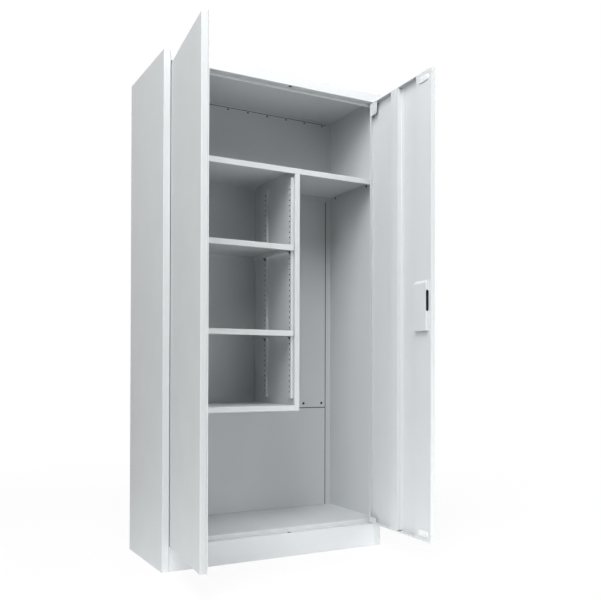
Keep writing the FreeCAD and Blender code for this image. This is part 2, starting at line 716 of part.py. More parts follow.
def rack(label, wall, inward, front):
    """Slotted channel on a wall; inward is +1 where the rack stands to the right of its wall."""
    body = new_body(label)
    face = wall + inward * d.rack_depth
    path = [
        (wall, deep(front)),
        (face, deep(front)),
        (face, deep(front + d.rack_width)),
        (wall, deep(front + d.rack_width)),
    ]
    folded(body, "XY_Plane", path, inward, RACK_BOTTOM, RACK_TOP)
    middle = deep(front + d.rack_width / 2)
    slot = rectangle(middle - d.slot_width / 2, middle + d.slot_width / 2,
                     FIRST_SLOT - d.slot_height / 2, FIRST_SLOT + d.slot_height / 2)
    pocket = cut_block(body, "YZ_Plane", slot, face - 2 * d.sheet, face + 2 * d.sheet)
    row = body.newObject("PartDesign::LinearPattern", "SlotRow")
    row.Originals = [pocket]
    row.Direction = (pocket.Profile[0], ["V_Axis"])
    row.Mode = "Spacing"
    bind(row, "Offset", d.slot_pitch)
    bind(row, "Occurrences", d.slot_count)
    body.Tip = row
    return body


def racks():
    """Four racks: front and rear on the left wall, front and rear on the divider."""
    left_wall = -1 * WALL
    return [
        rack("left_front_rack", left_wall, 1, d.rack_front),
        rack("left_rear_rack", left_wall, 1, d.rack_rear),
        rack("divider_front_rack", d.divider_left, -1, d.rack_front),
        rack("divider_rear_rack", d.divider_left, -1, d.rack_rear),
    ]


def shelf_clips(label, slot):
    """Four hooked clips that carry one adjustable shelf."""
    body = new_body(label)
    under = shelf_edge(slot)
    hook = FIRST_SLOT + slot * d.slot_pitch - d.slot_height / 2
    t = d.clip_sheet
    for wall, inward in ((-1 * WALL, 1), (d.divider_left, -1)):
        face = wall + inward * d.rack_depth
        tip = face + inward * d.clip_reach
        catch = face - inward * (d.sheet + t + PAST)
        outline = [
            (tip, under),
            (tip, under - t),
            (face + inward * t, under - t),
            (face + inward * t, hook - t),
            (face, hook - t),
            (face, hook),
            (catch + inward * t, hook),
            (catch + inward * t, hook - t),
            (catch, hook - t),
            (catch, hook + t),
            (face, hook + t),
            (face, under),
        ]
        for front in (d.rack_front, d.rack_rear):
            middle = deep(front + d.rack_width / 2)
            block(body, "XZ_Plane", outline, middle - d.clip_width / 2, middle + d.clip_width / 2)
    return body


def bolt_spots(top):
    """Front and rear bolts of a fixed shelf, in the YZ plane."""
    height = top - d.bolt_drop
    return [(deep(d.bolt_front), height), (deep(d.depth - d.bolt_rear), height)]


def wall_studs(label, wall_sides, top):
    """Studs welded to the side walls, with the round nuts that clamp a shelf's side flanges."""
    body = new_body(label)
    for wall, inward in wall_sides:
        inside = wall + inward * d.sheet
        head = inside + inward * d.bolt_head_height
        low, high = (inside, head) if inward > 0 else (head, inside)
        discs(body, "YZ_Plane", bolt_spots(top), d.bolt_head_radius, low, high)
        low, high = (wall, inside) if inward > 0 else (inside, wall)
        discs(body, "YZ_Plane", bolt_spots(top), d.bolt_radius, low, high)
    return body


def divider_bolts():
    """Bolts from the lower fixed shelf through the divider's web, and their nuts."""
    bolts, nuts = new_body("divider_bolts"), new_body("divider_nuts")
    spots = bolt_spots(d.fixed_shelf_height)
    head = d.divider_left - d.sheet
    behind = d.divider_left + d.sheet
    discs(bolts, "YZ_Plane", spots, d.bolt_head_radius, head - d.bolt_head_height, head)
    discs(bolts, "YZ_Plane", spots, d.bolt_radius, head, behind + d.bolt_head_height + PAST)
    for centre in spots:
        outline = []
        for corner in range(6):
            turn = math.radians(60 * corner)
            outline.append((centre[0] + d.bolt_head_radius * math.cos(turn),
                            centre[1] + d.bolt_head_radius * math.sin(turn)))
        block(nuts, "YZ_Plane", outline, behind, behind + d.bolt_head_height)
    cut_discs(nuts, "YZ_Plane", spots, d.bolt_radius, behind - PAST, behind + d.bolt_head_height + PAST)
    return [bolts, nuts]


def rivet_row(label, spots, radius, stretch):
    """Row of rivets through the back: a flat head inside and a closing head outside."""
    body = new_body(label)
    inside = deep(FLANGE_BACK)
    outside = deep(d.depth)
    head = d.rivet_head
    discs(body, "XZ_Plane", spots, d.rivet_radius, inside, outside)
    if stretch:
        ovals = [rectangle(x - radius, x + radius, z - radius / 2, z + radius / 2) for x, z in spots]
        blocks(body, "XZ_Plane", ovals, inside - head, inside)
        corners = [corner for oval in ovals for corner in oval]
        round_corners(body, "XZ_Plane", corners, radius / 2 - STRAIGHT_LEFT)
    else:
        discs(body, "XZ_Plane", spots, radius, inside - head, inside)
    discs(body, "XZ_Plane", spots, d.rivet_radius + head, outside, outside + head)
    return body


def back_fasteners():
    """Clips along the roof, plugs along the joint, and rivets up both rear flanges."""
    roof_row = [(x, d.height - d.rivet_inset) for x in rivet_columns()]
    seam_row = [(x, d.back_seam + d.rivet_inset) for x in rivet_columns()]
    clips = rivet_row("roof_flange_clips", roof_row, d.roof_clip_half, True)
    plugs = rivet_row("back_seam_plugs", seam_row, d.seam_plug_radius, False)
    body = new_body("rear_flange_rivets")
    spots = [(x, z) for x in (-1 * FLANGE_RIVET_X, FLANGE_RIVET_X) for z in flange_rivet_heights()]
    inside, outside = deep(FLANGE_FRONT), deep(FLANGE_BACK + d.sheet)
    wide = d.rivet_radius + d.rivet_head
    discs(body, "XZ_Plane", spots, d.rivet_radius, inside, outside)
    discs(body, "XZ_Plane", spots, wide, inside - d.rivet_head, inside)
    discs(body, "XZ_Plane", spots, wide, outside, outside + d.sheet)
    return [clips, plugs, body]


def hinge_pins():
    """Headed pins that the doors turn on, and the nylon washers that carry the doors."""
    upper = new_body("upper_hinge_pins")
    tip = DOOR_TOP - d.sheet - d.plate_thickness - d.pin_tip
    head = FASCIA_BOTTOM + d.sheet
    discs(upper, "XY_Plane", pin_spots(), d.pin_radius, tip, head)
    discs(upper, "XY_Plane", pin_spots(), d.pin_head_radius, head, head + d.pin_head_height)
    lower = new_body("lower_hinge_pins")
    tip = DOOR_BOTTOM + d.sheet + d.plate_thickness + d.pin_tip
    head = d.plinth_height - d.sheet
    discs(lower, "XY_Plane", pin_spots(), d.pin_radius, head, tip)
    discs(lower, "XY_Plane", pin_spots(), d.pin_head_radius, head - d.pin_head_height, head)
    washers = new_body("hinge_washers")
    top = DOOR_BOTTOM - d.washer_gap
    discs(washers, "XY_Plane", pin_spots(), d.washer_radius, d.plinth_height, top)
    cut_discs(washers, "XY_Plane", pin_spots(), d.pin_radius, d.plinth_height, top + PAST)
    return [upper, lower, washers]


# ---------------------------------------------------------------- doors, drawn closed about the pivot

def along(way, distance):
    """X in a door's own frame, so far from its hinge edge; way is +1 on the left door."""
    return way * (distance - d.pivot_in)


def within(distance):
    """Y in a door's own frame, so far behind its outer face."""
    return distance - d.pivot_back


def hang(body, way):
    """Move a door piece to its pivot and turn it open by the door's rest angle."""
    body.Placement = Placement(Vector(0, 0, 0), Rotation(Vector(0, 0, 1), 1))
    bind(body, "Placement.Base.x", -way * PIVOT_X)
    bind(body, "Placement.Base.y", deep(d.pivot_back))
    angle = -1 * d.left_open_angle if way > 0 else d.right_open_angle
    bind(body, "Placement.Rotation.Angle", angle)
    return body


def door_skin(label, way, rod_hole):
    """Outer sheet of a door, folded in on all four sides."""
    body = new_body(label)
    full, t = d.door_thickness, d.sheet
    path = [
        (along(way, d.door_lip_side), within(full)),
        (along(way, 0), within(full)),
        (along(way, 0), within(0)),
        (along(way, DOOR_WIDTH), within(0)),
        (along(way, DOOR_WIDTH), within(full - t)),
    ]
    folded(body, "XY_Plane", path, way, DOOR_BOTTOM, DOOR_TOP)
    start, end = along(way, t / 2), along(way, DOOR_WIDTH - t / 2)
    flange = rectangle(start, end, within(t / 2), within(full))
    block(body, "XY_Plane", flange, DOOR_BOTTOM, DOOR_BOTTOM + t)
    block(body, "XY_Plane", flange, DOOR_TOP - t, DOOR_TOP)
    end = along(way, DOOR_WIDTH - d.lock_stile_width)
    lower_lip = rectangle(start, end, DOOR_BOTTOM, DOOR_BOTTOM + d.door_lip_bottom)
    block(body, "XZ_Plane", lower_lip, within(full - t), within(full))
    hole = d.pin_radius + d.sheet
    for low, high in ((DOOR_BOTTOM - PAST, DOOR_BOTTOM + 2 * t), (DOOR_TOP - 2 * t, DOOR_TOP + PAST)):
        cut_discs(body, "XY_Plane", [(0, 0)], hole, low, high)
        if rod_hole:
            spot = (along(way, DOOR_WIDTH - d.rod_from_edge), within(d.rod_depth))
            cut_discs(body, "XY_Plane", [spot], d.rod_hole_radius, low, high)
    if rod_hole:
        spindle = (spindle_x(), d.lock_height)
        cut_discs(body, "XZ_Plane", [spindle], d.hub_journal_radius + PAST, within(-PAST), within(2 * t))
    return hang(body, way)


def stiffener(label, way):
    """Hat-shaped stiffener up the middle of a door."""
    body = new_body(label)
    near = d.hat_centre - d.hat_width / 2
    far = d.hat_centre + d.hat_width / 2
    foot = 2 * d.sheet
    path = [
        (along(way, near - d.hat_foot), within(foot)),
        (along(way, near), within(foot)),
        (along(way, near), within(d.door_thickness)),
        (along(way, far), within(d.door_thickness)),
        (along(way, far), within(foot)),
        (along(way, far + d.hat_foot), within(foot)),
    ]
    folded(body, "XY_Plane", path, -way, DOOR_BOTTOM + d.door_lip_bottom, DOOR_TOP - d.sheet)
    return hang(body, way)


def closing_stile(label, way, holes):
    """Box along a door's free edge; holes cuts its openings before it is hung."""
    body = new_body(label)
    near = DOOR_WIDTH - d.lock_stile_width
    foot = 2 * d.sheet
    path = [
        (along(way, DOOR_WIDTH), within(d.door_thickness)),
        (along(way, near), within(d.door_thickness)),
        (along(way, near), within(foot)),
        (along(way, near - d.hat_foot), within(foot)),
    ]
    folded(body, "XY_Plane", path, way, DOOR_BOTTOM + d.sheet, DOOR_TOP - d.sheet)
    if holes:
        holes(body)
    return hang(body, way)


def hinge_plate(label, way, top, leg):
    """Angle plate under a door's top flange (top) or on its bottom flange, bored for the pin."""
    body = new_body(label)
    t = d.plate_thickness
    flange = DOOR_TOP - d.sheet if top else DOOR_BOTTOM + d.sheet
    low, high = (flange - t, flange) if top else (flange, flange + t)
    start, end = along(way, 2 * d.sheet), along(way, d.plate_length)
    inner = within(d.door_thickness - d.sheet)
    block(body, "XY_Plane", rectangle(start, end, within(2 * d.sheet), inner), low, high)
    tip = flange - leg if top else flange + leg
    block(body, "XZ_Plane", rectangle(start, end, tip, flange), inner - t, inner)
    round_corners(body, "XZ_Plane", [(start, tip), (end, tip)], d.plate_corner)
    cut_discs(body, "XY_Plane", [(0, 0)], d.pin_radius + d.pin_clearance, low - PAST, high + PAST)
    spots = plate_rivet_spots(way)
    cut_discs(body, "XZ_Plane", spots[:1] if top else spots[1:], d.rivet_radius, inner - t - PAST, inner + PAST)
    return hang(body, way)


def plate_rivet_spots(way):
    """Places of the rivet in the upper and in the lower hinge plate."""
    upper = DOOR_TOP - d.sheet - d.upper_plate_leg + d.plate_corner
    lower = DOOR_BOTTOM + d.sheet + d.lower_plate_leg - d.plate_corner
    return [(along(way, d.plate_rivet), upper), (along(way, d.plate_rivet - d.plate_corner), lower)]


def hinge_rivets(label, way):
    """Rivets in the hinge plates."""
    body = new_body(label)
    inner = within(d.door_thickness - d.sheet)
    wide = d.rivet_radius + d.rivet_head / 2
    discs(body, "XZ_Plane", plate_rivet_spots(way), d.rivet_radius, inner - d.plate_thickness, inner)
    discs(body, "XZ_Plane", plate_rivet_spots(way), wide, inner, inner + d.rivet_head)
    return hang(body, way)


def overlap_strip():
    """Strip behind the left door's free edge; the right door closes in front of it."""
    body = new_body("overlap_strip")
    near, edge = DOOR_WIDTH - d.strip_land, DOOR_WIDTH + d.strip_reach
    face, back = d.door_thickness, d.door_thickness + d.strip_thickness
    outline = [
        (along(1, near), within(face)),
        (along(1, DOOR_WIDTH), within(face)),
        (along(1, DOOR_WIDTH), within(face + d.strip_joggle)),
        (along(1, edge), within(face + d.strip_joggle)),
        (along(1, edge), within(back)),
        (along(1, near), within(back)),
    ]
    block(body, "XY_Plane", outline, DOOR_BOTTOM, DOOR_TOP)
    return hang(body, 1)


# ---------------------------------------------------------------- lock of the right door

RIGHT = -1
LOCK_AT = DOOR_WIDTH - d.rod_from_edge


def spindle_x():
    """X of the handle's axis in the right door's own frame."""
    return along(RIGHT, LOCK_AT)


def beside(distance):
    """X of a place so far from the handle's axis, towards the right door's free edge."""
    return along(RIGHT, LOCK_AT + distance)


def above(distance):
    """Z of a place so far above the handle's axis."""
    return d.lock_height + distance


def guide_heights():
    """Heights of the upper and lower rod guides."""
    return [DOOR_TOP - d.guide_centre, DOOR_BOTTOM + d.guide_centre]


def lock_openings(body):
    """Openings in the lock stile for the mechanism and for the two rod guides."""
    low, high = within(d.door_thickness - 2 * d.sheet), within(d.door_thickness + PAST)
    half_wide, half_high = d.lock_window_width / 2, d.lock_window_height / 2
    mechanism = rectangle(beside(-1 * half_wide), beside(half_wide), above(-1 * half_high), above(half_high))
    cut_block(body, "XZ_Plane", mechanism, low, high)
    half, rise = d.guide_block / 2, d.guide_block_height / 2
    for height in guide_heights():
        window = rectangle(beside(-1 * half), beside(half), height - rise, height + rise)
        cut_block(body, "XZ_Plane", window, low, high)


def rod_guide(label, height):
    """Plastic guide of a lock rod, with the oval face that shows inside the door."""
    body = new_body(label)
    half_long, half_high = d.guide_length / 2, d.guide_height / 2
    face = within(d.door_thickness)
    oval = rectangle(beside(-1 * half_long), beside(half_long), height - half_high, height + half_high)
    block(body, "XZ_Plane", oval, face, face + d.guide_proud)
    round_corners(body, "XZ_Plane", oval, half_high - STRAIGHT_LEFT)
    half, rise = d.guide_block / 2, d.guide_block_height / 2
    core = rectangle(beside(-1 * half), beside(half), height - rise, height + rise)
    block(body, "XZ_Plane", core, within(3 * d.sheet), face)
    bore = d.rod_radius + d.rod_clearance
    cut_discs(body, "XY_Plane", [(spindle_x(), within(d.rod_depth))], bore, height - rise - PAST, height + rise + PAST)
    return hang(body, RIGHT)


def lock_plate():
    """Steel plate on the lock stile that the spindle turns in."""
    body = new_body("lock_plate")
    low = within(d.door_thickness)
    half_wide, half_high = d.lock_plate_width / 2, d.lock_plate_height / 2
    plate = rectangle(beside(-1 * half_wide), beside(half_wide), above(-1 * half_high), above(half_high))
    block(body, "XZ_Plane", plate, low, low + d.lock_plate_thickness)
    round_corners(body, "XZ_Plane", plate, d.lock_screw_inset)
    hole = d.journal_radius + d.journal_clearance
    spindle = (spindle_x(), d.lock_height)
    cut_discs(body, "XZ_Plane", [spindle], hole, low - PAST, low + d.lock_plate_thickness + PAST)
    return hang(body, RIGHT)


def lock_screws():
    """Four screws that hold the lock plate to the stile."""
    body = new_body("lock_plate_screws")
    top = within(d.door_thickness) + d.lock_plate_thickness
    out, rise = d.lock_plate_width / 2 - d.lock_screw_inset, d.lock_plate_height / 2 - d.lock_screw_inset
    spots = [(beside(x), above(z)) for x in (-1 * out, out) for z in (-1 * rise, rise)]
    discs(body, "XZ_Plane", spots, d.lock_screw_radius, top, top + d.lock_screw_head)
    middle = (top + d.lock_screw_head / 2).number
    round_rims(body, lambda centre, radius: centre.y > middle, d.lock_screw_head / 2)
    return hang(body, RIGHT)


def lock_cover():
    """Folded cover over the lock, with a slot in its side for the tongue."""
    body = new_body("lock_cover")
    near = DOOR_WIDTH - d.cover_edge - d.cover_length
    far = DOOR_WIDTH - d.cover_edge
    base = within(d.door_thickness)
    face = base + d.cover_depth
    low, high = above(-1 * d.cover_below), above(d.cover_above)
    slope = [
        (base, low),
        (face, low),
        (face, high - d.cover_chamfer),
        (base, high),
    ]
    block(body, "YZ_Plane", slope, along(RIGHT, far), along(RIGHT, near))
    edges = [(along(RIGHT, near), face), (along(RIGHT, far), face)]
    round_corners(body, "XY_Plane", edges, d.bend + d.sheet)
    w = d.cover_wall
    hollow = [
        (base - PAST, low + w),
        (face - w, low + w),
        (face - w, high - d.cover_chamfer - w / 2),
        (base, high - w * 3 / 2),
        (base - PAST, high - w * 3 / 2),
    ]
    cut_block(body, "YZ_Plane", hollow, along(RIGHT, far - w), along(RIGHT, near + w))
    middle = base + d.cover_depth / 2
    half_wide, half_high = d.tongue_slot_width / 2, d.tongue_slot_height / 2
    slot = rectangle(middle - half_wide, middle + half_wide, above(-1 * half_high), above(half_high))
    cut_block(body, "YZ_Plane", slot, along(RIGHT, far + PAST), along(RIGHT, far - 2 * w))
    round_corners(body, "YZ_Plane", slot, half_wide - STRAIGHT_LEFT)
    return hang(body, RIGHT)


def handle_plate():
    """Plastic plate on the outside of the right door, with the bearing of the handle."""
    body = new_body("handle_plate")
    half = d.rosette_width / 2
    outline = rectangle(beside(-1 * half), beside(half), above(-1 * d.rosette_below), above(d.rosette_above))
    block(body, "XZ_Plane", outline, within(-1 * d.rosette_depth), within(0))
    round_corners(body, "XZ_Plane", outline, half / 2)
    bore = d.hub_journal_radius + d.journal_clearance
    spindle = (spindle_x(), d.lock_height)
    cut_discs(body, "XZ_Plane", [spindle], bore, within(-1 * d.rosette_depth - PAST), within(PAST))
    return hang(body, RIGHT)


def door_handle():
    """Lever handle: a low hub and a cranked lever that lies level while the lock is open."""
    body = new_body("door_handle")
    spindle = (spindle_x(), d.lock_height)
    seat, front = within(-1 * d.rosette_depth - d.hub_gap), within(-1 * d.hub_proud)
    discs(body, "XZ_Plane", [spindle], d.hub_radius, front, seat)
    grip, behind_grip = within(-1 * d.lever_proud), within(d.lever_thickness - d.lever_proud)
    lever = [
        (beside(0), front),
        (beside(-1 * d.crank_start), front),
        (beside(-1 * d.crank_end), grip),
        (beside(-1 * d.lever_length), grip),
        (beside(-1 * d.lever_length), behind_grip),
        (beside(-1 * d.crank_end), behind_grip),
        (beside(-1 * d.crank_start), seat),
        (beside(0), seat),
    ]
    half = d.lever_height / 2
    block(body, "XY_Plane", lever, above(-1 * half), above(half))
    tips = [(lever[3][0], above(-1 * half)), (lever[3][0], above(half))]
    round_corners(body, "XZ_Plane", tips, half - STRAIGHT_LEFT)
    discs(body, "XZ_Plane", [spindle], d.hub_journal_radius, seat, within(d.sheet))
    pocket = front + d.key_length - d.key_proud + d.hub_gap
    cut_discs(body, "XZ_Plane", [spindle], d.key_radius + d.journal_clearance, front - PAST, pocket)
    cut_discs(body, "XZ_Plane", [spindle], d.spindle_radius, within(-1 * d.spindle_seat), within(2 * d.sheet))
    return hang(body, RIGHT)


def key_plug():
    """Lock cylinder in the handle's hub, with its key slot."""
    body = new_body("key_plug")
    spindle = (spindle_x(), d.lock_height)
    face = within(-1 * d.hub_proud - d.key_proud)
    discs(body, "XZ_Plane", [spindle], d.key_radius, face, face + d.key_length)
    half_wide, half_high = d.key_slot_width / 2, d.key_slot_height / 2
    slot = rectangle(beside(-1 * half_wide), beside(half_wide), above(-1 * half_high), above(half_high))
    cut_block(body, "XZ_Plane", slot, face - PAST, face + d.key_slot_depth)
    return hang(body, RIGHT)


CAM_BACK = within(d.cam_back)
CAM_FRONT = CAM_BACK - d.cam_thickness
YOKE_FRONT = within(d.rod_depth) - d.yoke_thickness / 2
YOKE_BACK = within(d.rod_depth) + d.yoke_thickness / 2
COVER_MIDDLE = within(d.door_thickness) + d.cover_depth / 2
TONGUE_FRONT = COVER_MIDDLE - d.tongue_thickness / 2
TONGUE_BACK = COVER_MIDDLE + d.tongue_thickness / 2
CAM_ANGLE = math.radians(45)


def lock_spindle():
    """Spindle from the handle's hub to the tongue."""
    body = new_body("lock_spindle")
    spindle = [(spindle_x(), d.lock_height)]
    journal = within(d.door_thickness) - d.sheet
    discs(body, "XZ_Plane", spindle, d.spindle_radius, within(-1 * d.spindle_seat), journal)
    discs(body, "XZ_Plane", spindle, d.journal_radius, journal, TONGUE_FRONT)
    discs(body, "XZ_Plane", spindle, d.spindle_radius, TONGUE_FRONT, TONGUE_BACK + PAST)
    return hang(body, RIGHT)


def rod_cam():
    """Disc on the spindle with two pins, one for each rod."""
    body = new_body("rod_cam")
    spindle = [(spindle_x(), d.lock_height)]
    discs(body, "XZ_Plane", spindle, d.crank_radius + 2 * d.drive_pin_radius, CAM_FRONT, CAM_BACK)
    out = d.crank_radius * math.cos(CAM_ANGLE)
    rise = d.crank_radius * math.sin(CAM_ANGLE)
    pins = [(beside(out), above(-1 * rise)), (beside(-1 * out), above(rise))]
    discs(body, "XZ_Plane", pins, d.drive_pin_radius, CAM_BACK, YOKE_BACK + PAST)
    cut_discs(body, "XZ_Plane", spindle, d.spindle_radius, CAM_FRONT - PAST, CAM_BACK + PAST)
    return hang(body, RIGHT)


def locking_tongue():
    """Tongue on the inner end of the spindle; it hangs down while the lock is open."""
    body = new_body("locking_tongue")
    half = d.tongue_width / 2
    spindle = [(spindle_x(), d.lock_height)]
    discs(body, "XZ_Plane", spindle, d.journal_radius + 2, TONGUE_FRONT, TONGUE_BACK)
    finger = rectangle(beside(-1 * half), beside(half), above(-1 * d.tongue_length), above(0))
    block(body, "XZ_Plane", finger, TONGUE_FRONT, TONGUE_BACK)
    round_corners(body, "XZ_Plane", finger[:2], half - STRAIGHT_LEFT)
    cut_discs(body, "XZ_Plane", spindle, d.spindle_radius, TONGUE_FRONT - PAST, TONGUE_BACK + PAST)
    return hang(body, RIGHT)


def rod_yoke(label, up):
    """Bent flat on the end of a rod; a drive pin of the cam runs in its slot."""
    body = new_body(label)
    out = d.crank_radius * math.cos(CAM_ANGLE)
    reach = d.crank_radius
    pin = d.drive_pin_radius + d.yoke_clearance
    inner = d.spindle_radius + d.yoke_clearance
    outer = reach + pin + d.yoke_wall
    slot_rise = out + pin + d.yoke_wall

    def at(side_reach, rise):
        return (beside(up * side_reach), above(up * rise))

    outline = [
        at(inner, -1 * slot_rise),
        at(outer, -1 * slot_rise),
        at(outer, d.yoke_arm_end),
        at(-1 * d.rod_radius, d.yoke_arm_end),
        at(-1 * d.rod_radius, d.yoke_arm_start),
        at(inner, d.yoke_arm_start),
    ]
    block(body, "XZ_Plane", outline, YOKE_FRONT, YOKE_BACK)
    slot = [
        at(out - pin, -1 * out - pin),
        at(reach + pin, -1 * out - pin),
        at(reach + pin, pin - out),
        at(out - pin, pin - out),
    ]
    cut_block(body, "XZ_Plane", slot, YOKE_FRONT - PAST, YOKE_BACK + PAST)
    return hang(body, RIGHT)


def lock_rod(label, up):
    """Round rod from its yoke to the end of the door."""
    body = new_body(label)
    start = above(up * d.yoke_arm_end)
    end = DOOR_TOP - d.rod_inset if up > 0 else DOOR_BOTTOM + d.rod_inset
    low, high = (start, end) if up > 0 else (end, start)
    discs(body, "XY_Plane", [(spindle_x(), within(d.rod_depth))], d.rod_radius, low, high)
    return hang(body, RIGHT)


# ---------------------------------------------------------------- build

def build():
    """Make every piece and give them back in one list."""
    pieces = [side_panel("left_side_panel", -1), side_panel("right_side_panel", 1)]
    pieces += [roof_panel(), plinth(), floor_panel()]
    pieces += back_panels()
    pieces += shelves()
    pieces.append(divider())
    pieces += racks()
    pieces += [shelf_clips("lower_shelf_clips", d.lower_shelf_slot),
               shelf_clips("upper_shelf_clips", d.upper_shelf_slot)]
    pieces += [wall_studs("top_shelf_studs", [(-1 * WALL, 1), (WALL, -1)], d.top_shelf_height),
               wall_studs("fixed_shelf_studs", [(-1 * WALL, 1)], d.fixed_shelf_height)]
    pieces += divider_bolts()
    pieces += back_fasteners()
    pieces += hinge_pins()
    for name, way in (("left", 1), ("right", RIGHT)):
        pieces += [door_skin(name + "_door_skin", way, way == RIGHT),
                   stiffener(name + "_door_stiffener", way),
                   closing_stile(name + "_door_stile", way, lock_openings if way == RIGHT else None),
                   hinge_plate(name + "_upper_hinge_plate", way, True, d.upper_plate_leg),
                   hinge_plate(name + "_lower_hinge_plate", way, False, d.lower_plate_leg),
                   hinge_rivets(name + "_hinge_rivets", way)]
    pieces.append(overlap_strip())
    upper_guide, lower_guide = guide_heights()
    pieces += [rod_guide("upper_rod_guide", upper_guide), rod_guide("lower_rod_guide", lower_guide)]
    pieces += [lock_plate(), lock_screws(), lock_cover(), handle_plate(), door_handle(), key_plug()]
    pieces += [lock_spindle(), rod_cam(), locking_tongue()]
    pieces += [rod_yoke("upper_rod_yoke", 1), rod_yoke("lower_rod_yoke", -1)]
    pieces += [lock_rod("upper_lock_rod", 1), lock_rod("lower_lock_rod", -1)]
    return pieces


def check(pieces):
    """Stop if any object of the document failed or any piece is not sound."""
    for item in doc.Objects:
        if "Invalid" in item.State or "Error" in item.State:
            raise RuntimeError("%s failed: %s" % (item.Label, item.State))
    for piece in pieces:
        shape = piece.Shape
        if shape.isNull() or not shape.isValid() or not shape.Solids:
            raise RuntimeError("%s has no sound shape" % piece.Label)


pieces = build()
doc.recompute()
check(pieces)
os.makedirs("parts", exist_ok=True)
for piece in pieces:
    piece.Shape.exportStep("parts/%s.step" % piece.Label)
    print("%-26s %2d solid(s) %10.1f mm3" % (piece.Label, len(piece.Shape.Solids), piece.Shape.Volume))
print(len(pieces), "pieces")
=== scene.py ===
# %% [markdown]
# # A steel broom cupboard, from its frame to its finish
#
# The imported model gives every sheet, hinge and lock part in metres.  This script adds what a
# machine shop does not draw: the powder coat, the plastics and the zinc, the small details that
# are stuck on or punched in, and the light that shows them.

import json
import math

import bmesh
import bpy
import numpy as np
from mathutils import Matrix, Vector


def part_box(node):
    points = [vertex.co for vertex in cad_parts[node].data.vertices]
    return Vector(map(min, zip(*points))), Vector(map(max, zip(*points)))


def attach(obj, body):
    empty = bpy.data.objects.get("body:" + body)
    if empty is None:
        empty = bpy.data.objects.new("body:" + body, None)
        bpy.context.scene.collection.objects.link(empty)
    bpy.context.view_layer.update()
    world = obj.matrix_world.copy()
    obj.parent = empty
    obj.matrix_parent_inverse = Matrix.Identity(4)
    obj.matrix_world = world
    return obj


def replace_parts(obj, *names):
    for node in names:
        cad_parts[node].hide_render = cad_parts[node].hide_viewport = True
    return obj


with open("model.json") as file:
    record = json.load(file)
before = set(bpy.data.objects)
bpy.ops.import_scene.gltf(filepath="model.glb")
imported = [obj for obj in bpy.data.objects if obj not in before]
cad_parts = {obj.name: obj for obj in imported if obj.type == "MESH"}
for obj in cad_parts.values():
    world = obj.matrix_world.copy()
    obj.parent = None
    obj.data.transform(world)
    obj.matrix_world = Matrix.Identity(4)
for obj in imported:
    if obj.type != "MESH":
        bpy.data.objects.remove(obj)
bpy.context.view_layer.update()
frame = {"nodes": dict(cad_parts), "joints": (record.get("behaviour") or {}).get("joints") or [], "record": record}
nodes = frame["nodes"]

# %% [markdown]
# ## Finding the way about
#
# Everything that is added sits on something that the frame already has, so places are read from
# the frame's boxes.  A door's pieces are drawn about its hinge, as its joint gives it.

# %% The carcass
carcass_low = Vector(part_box("left_side_panel")[0])
carcass_high = Vector(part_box("right_side_panel")[1])
FRONT = carcass_low.y
WIDTH = carcass_high.x - carcass_low.x
HEIGHT = carcass_high.z
print("carcass %.3f wide, %.3f high, front at %.3f" % (WIDTH, HEIGHT, FRONT))

# %% [markdown]
# ## Small tools for materials
#
# A finish is a tree of nodes.  It could be put together by hand in the shader editor, but written
# out it can be made again in another colour.  Each tool adds one step and gives back its socket:
# noise with its scale in waves per metre, a ramp from one grey or colour to another, and a bump
# with a real height.  Noise seldom leaves its middle values, so a ramp spans only those.

# %% Node tools
def new_material(name):
    """An empty node material with its output and its Principled shader."""
    material = bpy.data.materials.new(name)
    material.use_nodes = True
    tree = material.node_tree
    tree.nodes.clear()
    output = tree.nodes.new("ShaderNodeOutputMaterial")
    shader = tree.nodes.new("ShaderNodeBsdfPrincipled")
    tree.links.new(shader.outputs["BSDF"], output.inputs["Surface"])
    return material, tree, shader


def object_noise(tree, scale, detail, roughness=0.5):
    """Noise in object coordinates, so that its size is a real size."""
    place = tree.nodes.new("ShaderNodeTexCoord")
    noise = tree.nodes.new("ShaderNodeTexNoise")
    noise.inputs["Scale"].default_value = scale
    noise.inputs["Detail"].default_value = detail
    noise.inputs["Roughness"].default_value = roughness
    tree.links.new(place.outputs["Object"], noise.inputs["Vector"])
    return noise.outputs["Fac"]


NOISE_STOPS = (0.3, 0.7)


def ramp(tree, value, low, high, stops=NOISE_STOPS):
    """A soft change from one grey or colour to another, between two stops of the value."""
    node = tree.nodes.new("ShaderNodeValToRGB")
    node.color_ramp.interpolation = "EASE"
    for element, position, colour in zip(node.color_ramp.elements, stops, (low, high)):
        if not isinstance(colour, tuple):
            colour = (colour, colour, colour)
        element.position = position
        element.color = (*colour, 1)
    tree.links.new(value, node.inputs["Fac"])
    return node.outputs["Color"]


def add_bump(tree, shader, value, distance, strength):
    """A bump from a height value; distance is the real height in metres."""
    bump = tree.nodes.new("ShaderNodeBump")
    bump.inputs["Distance"].default_value = distance
    bump.inputs["Strength"].default_value = strength
    tree.links.new(value, bump.inputs["Height"])
    tree.links.new(bump.outputs["Normal"], shader.inputs["Normal"])


def shade(colour, factor, lift=0.0):
    """A colour made darker or lighter, each channel at most one."""
    return tuple(min(1.0, channel * factor + lift) for channel in colour)


print("a tenth darker than white:", shade((1.0, 1.0, 1.0), 0.9))
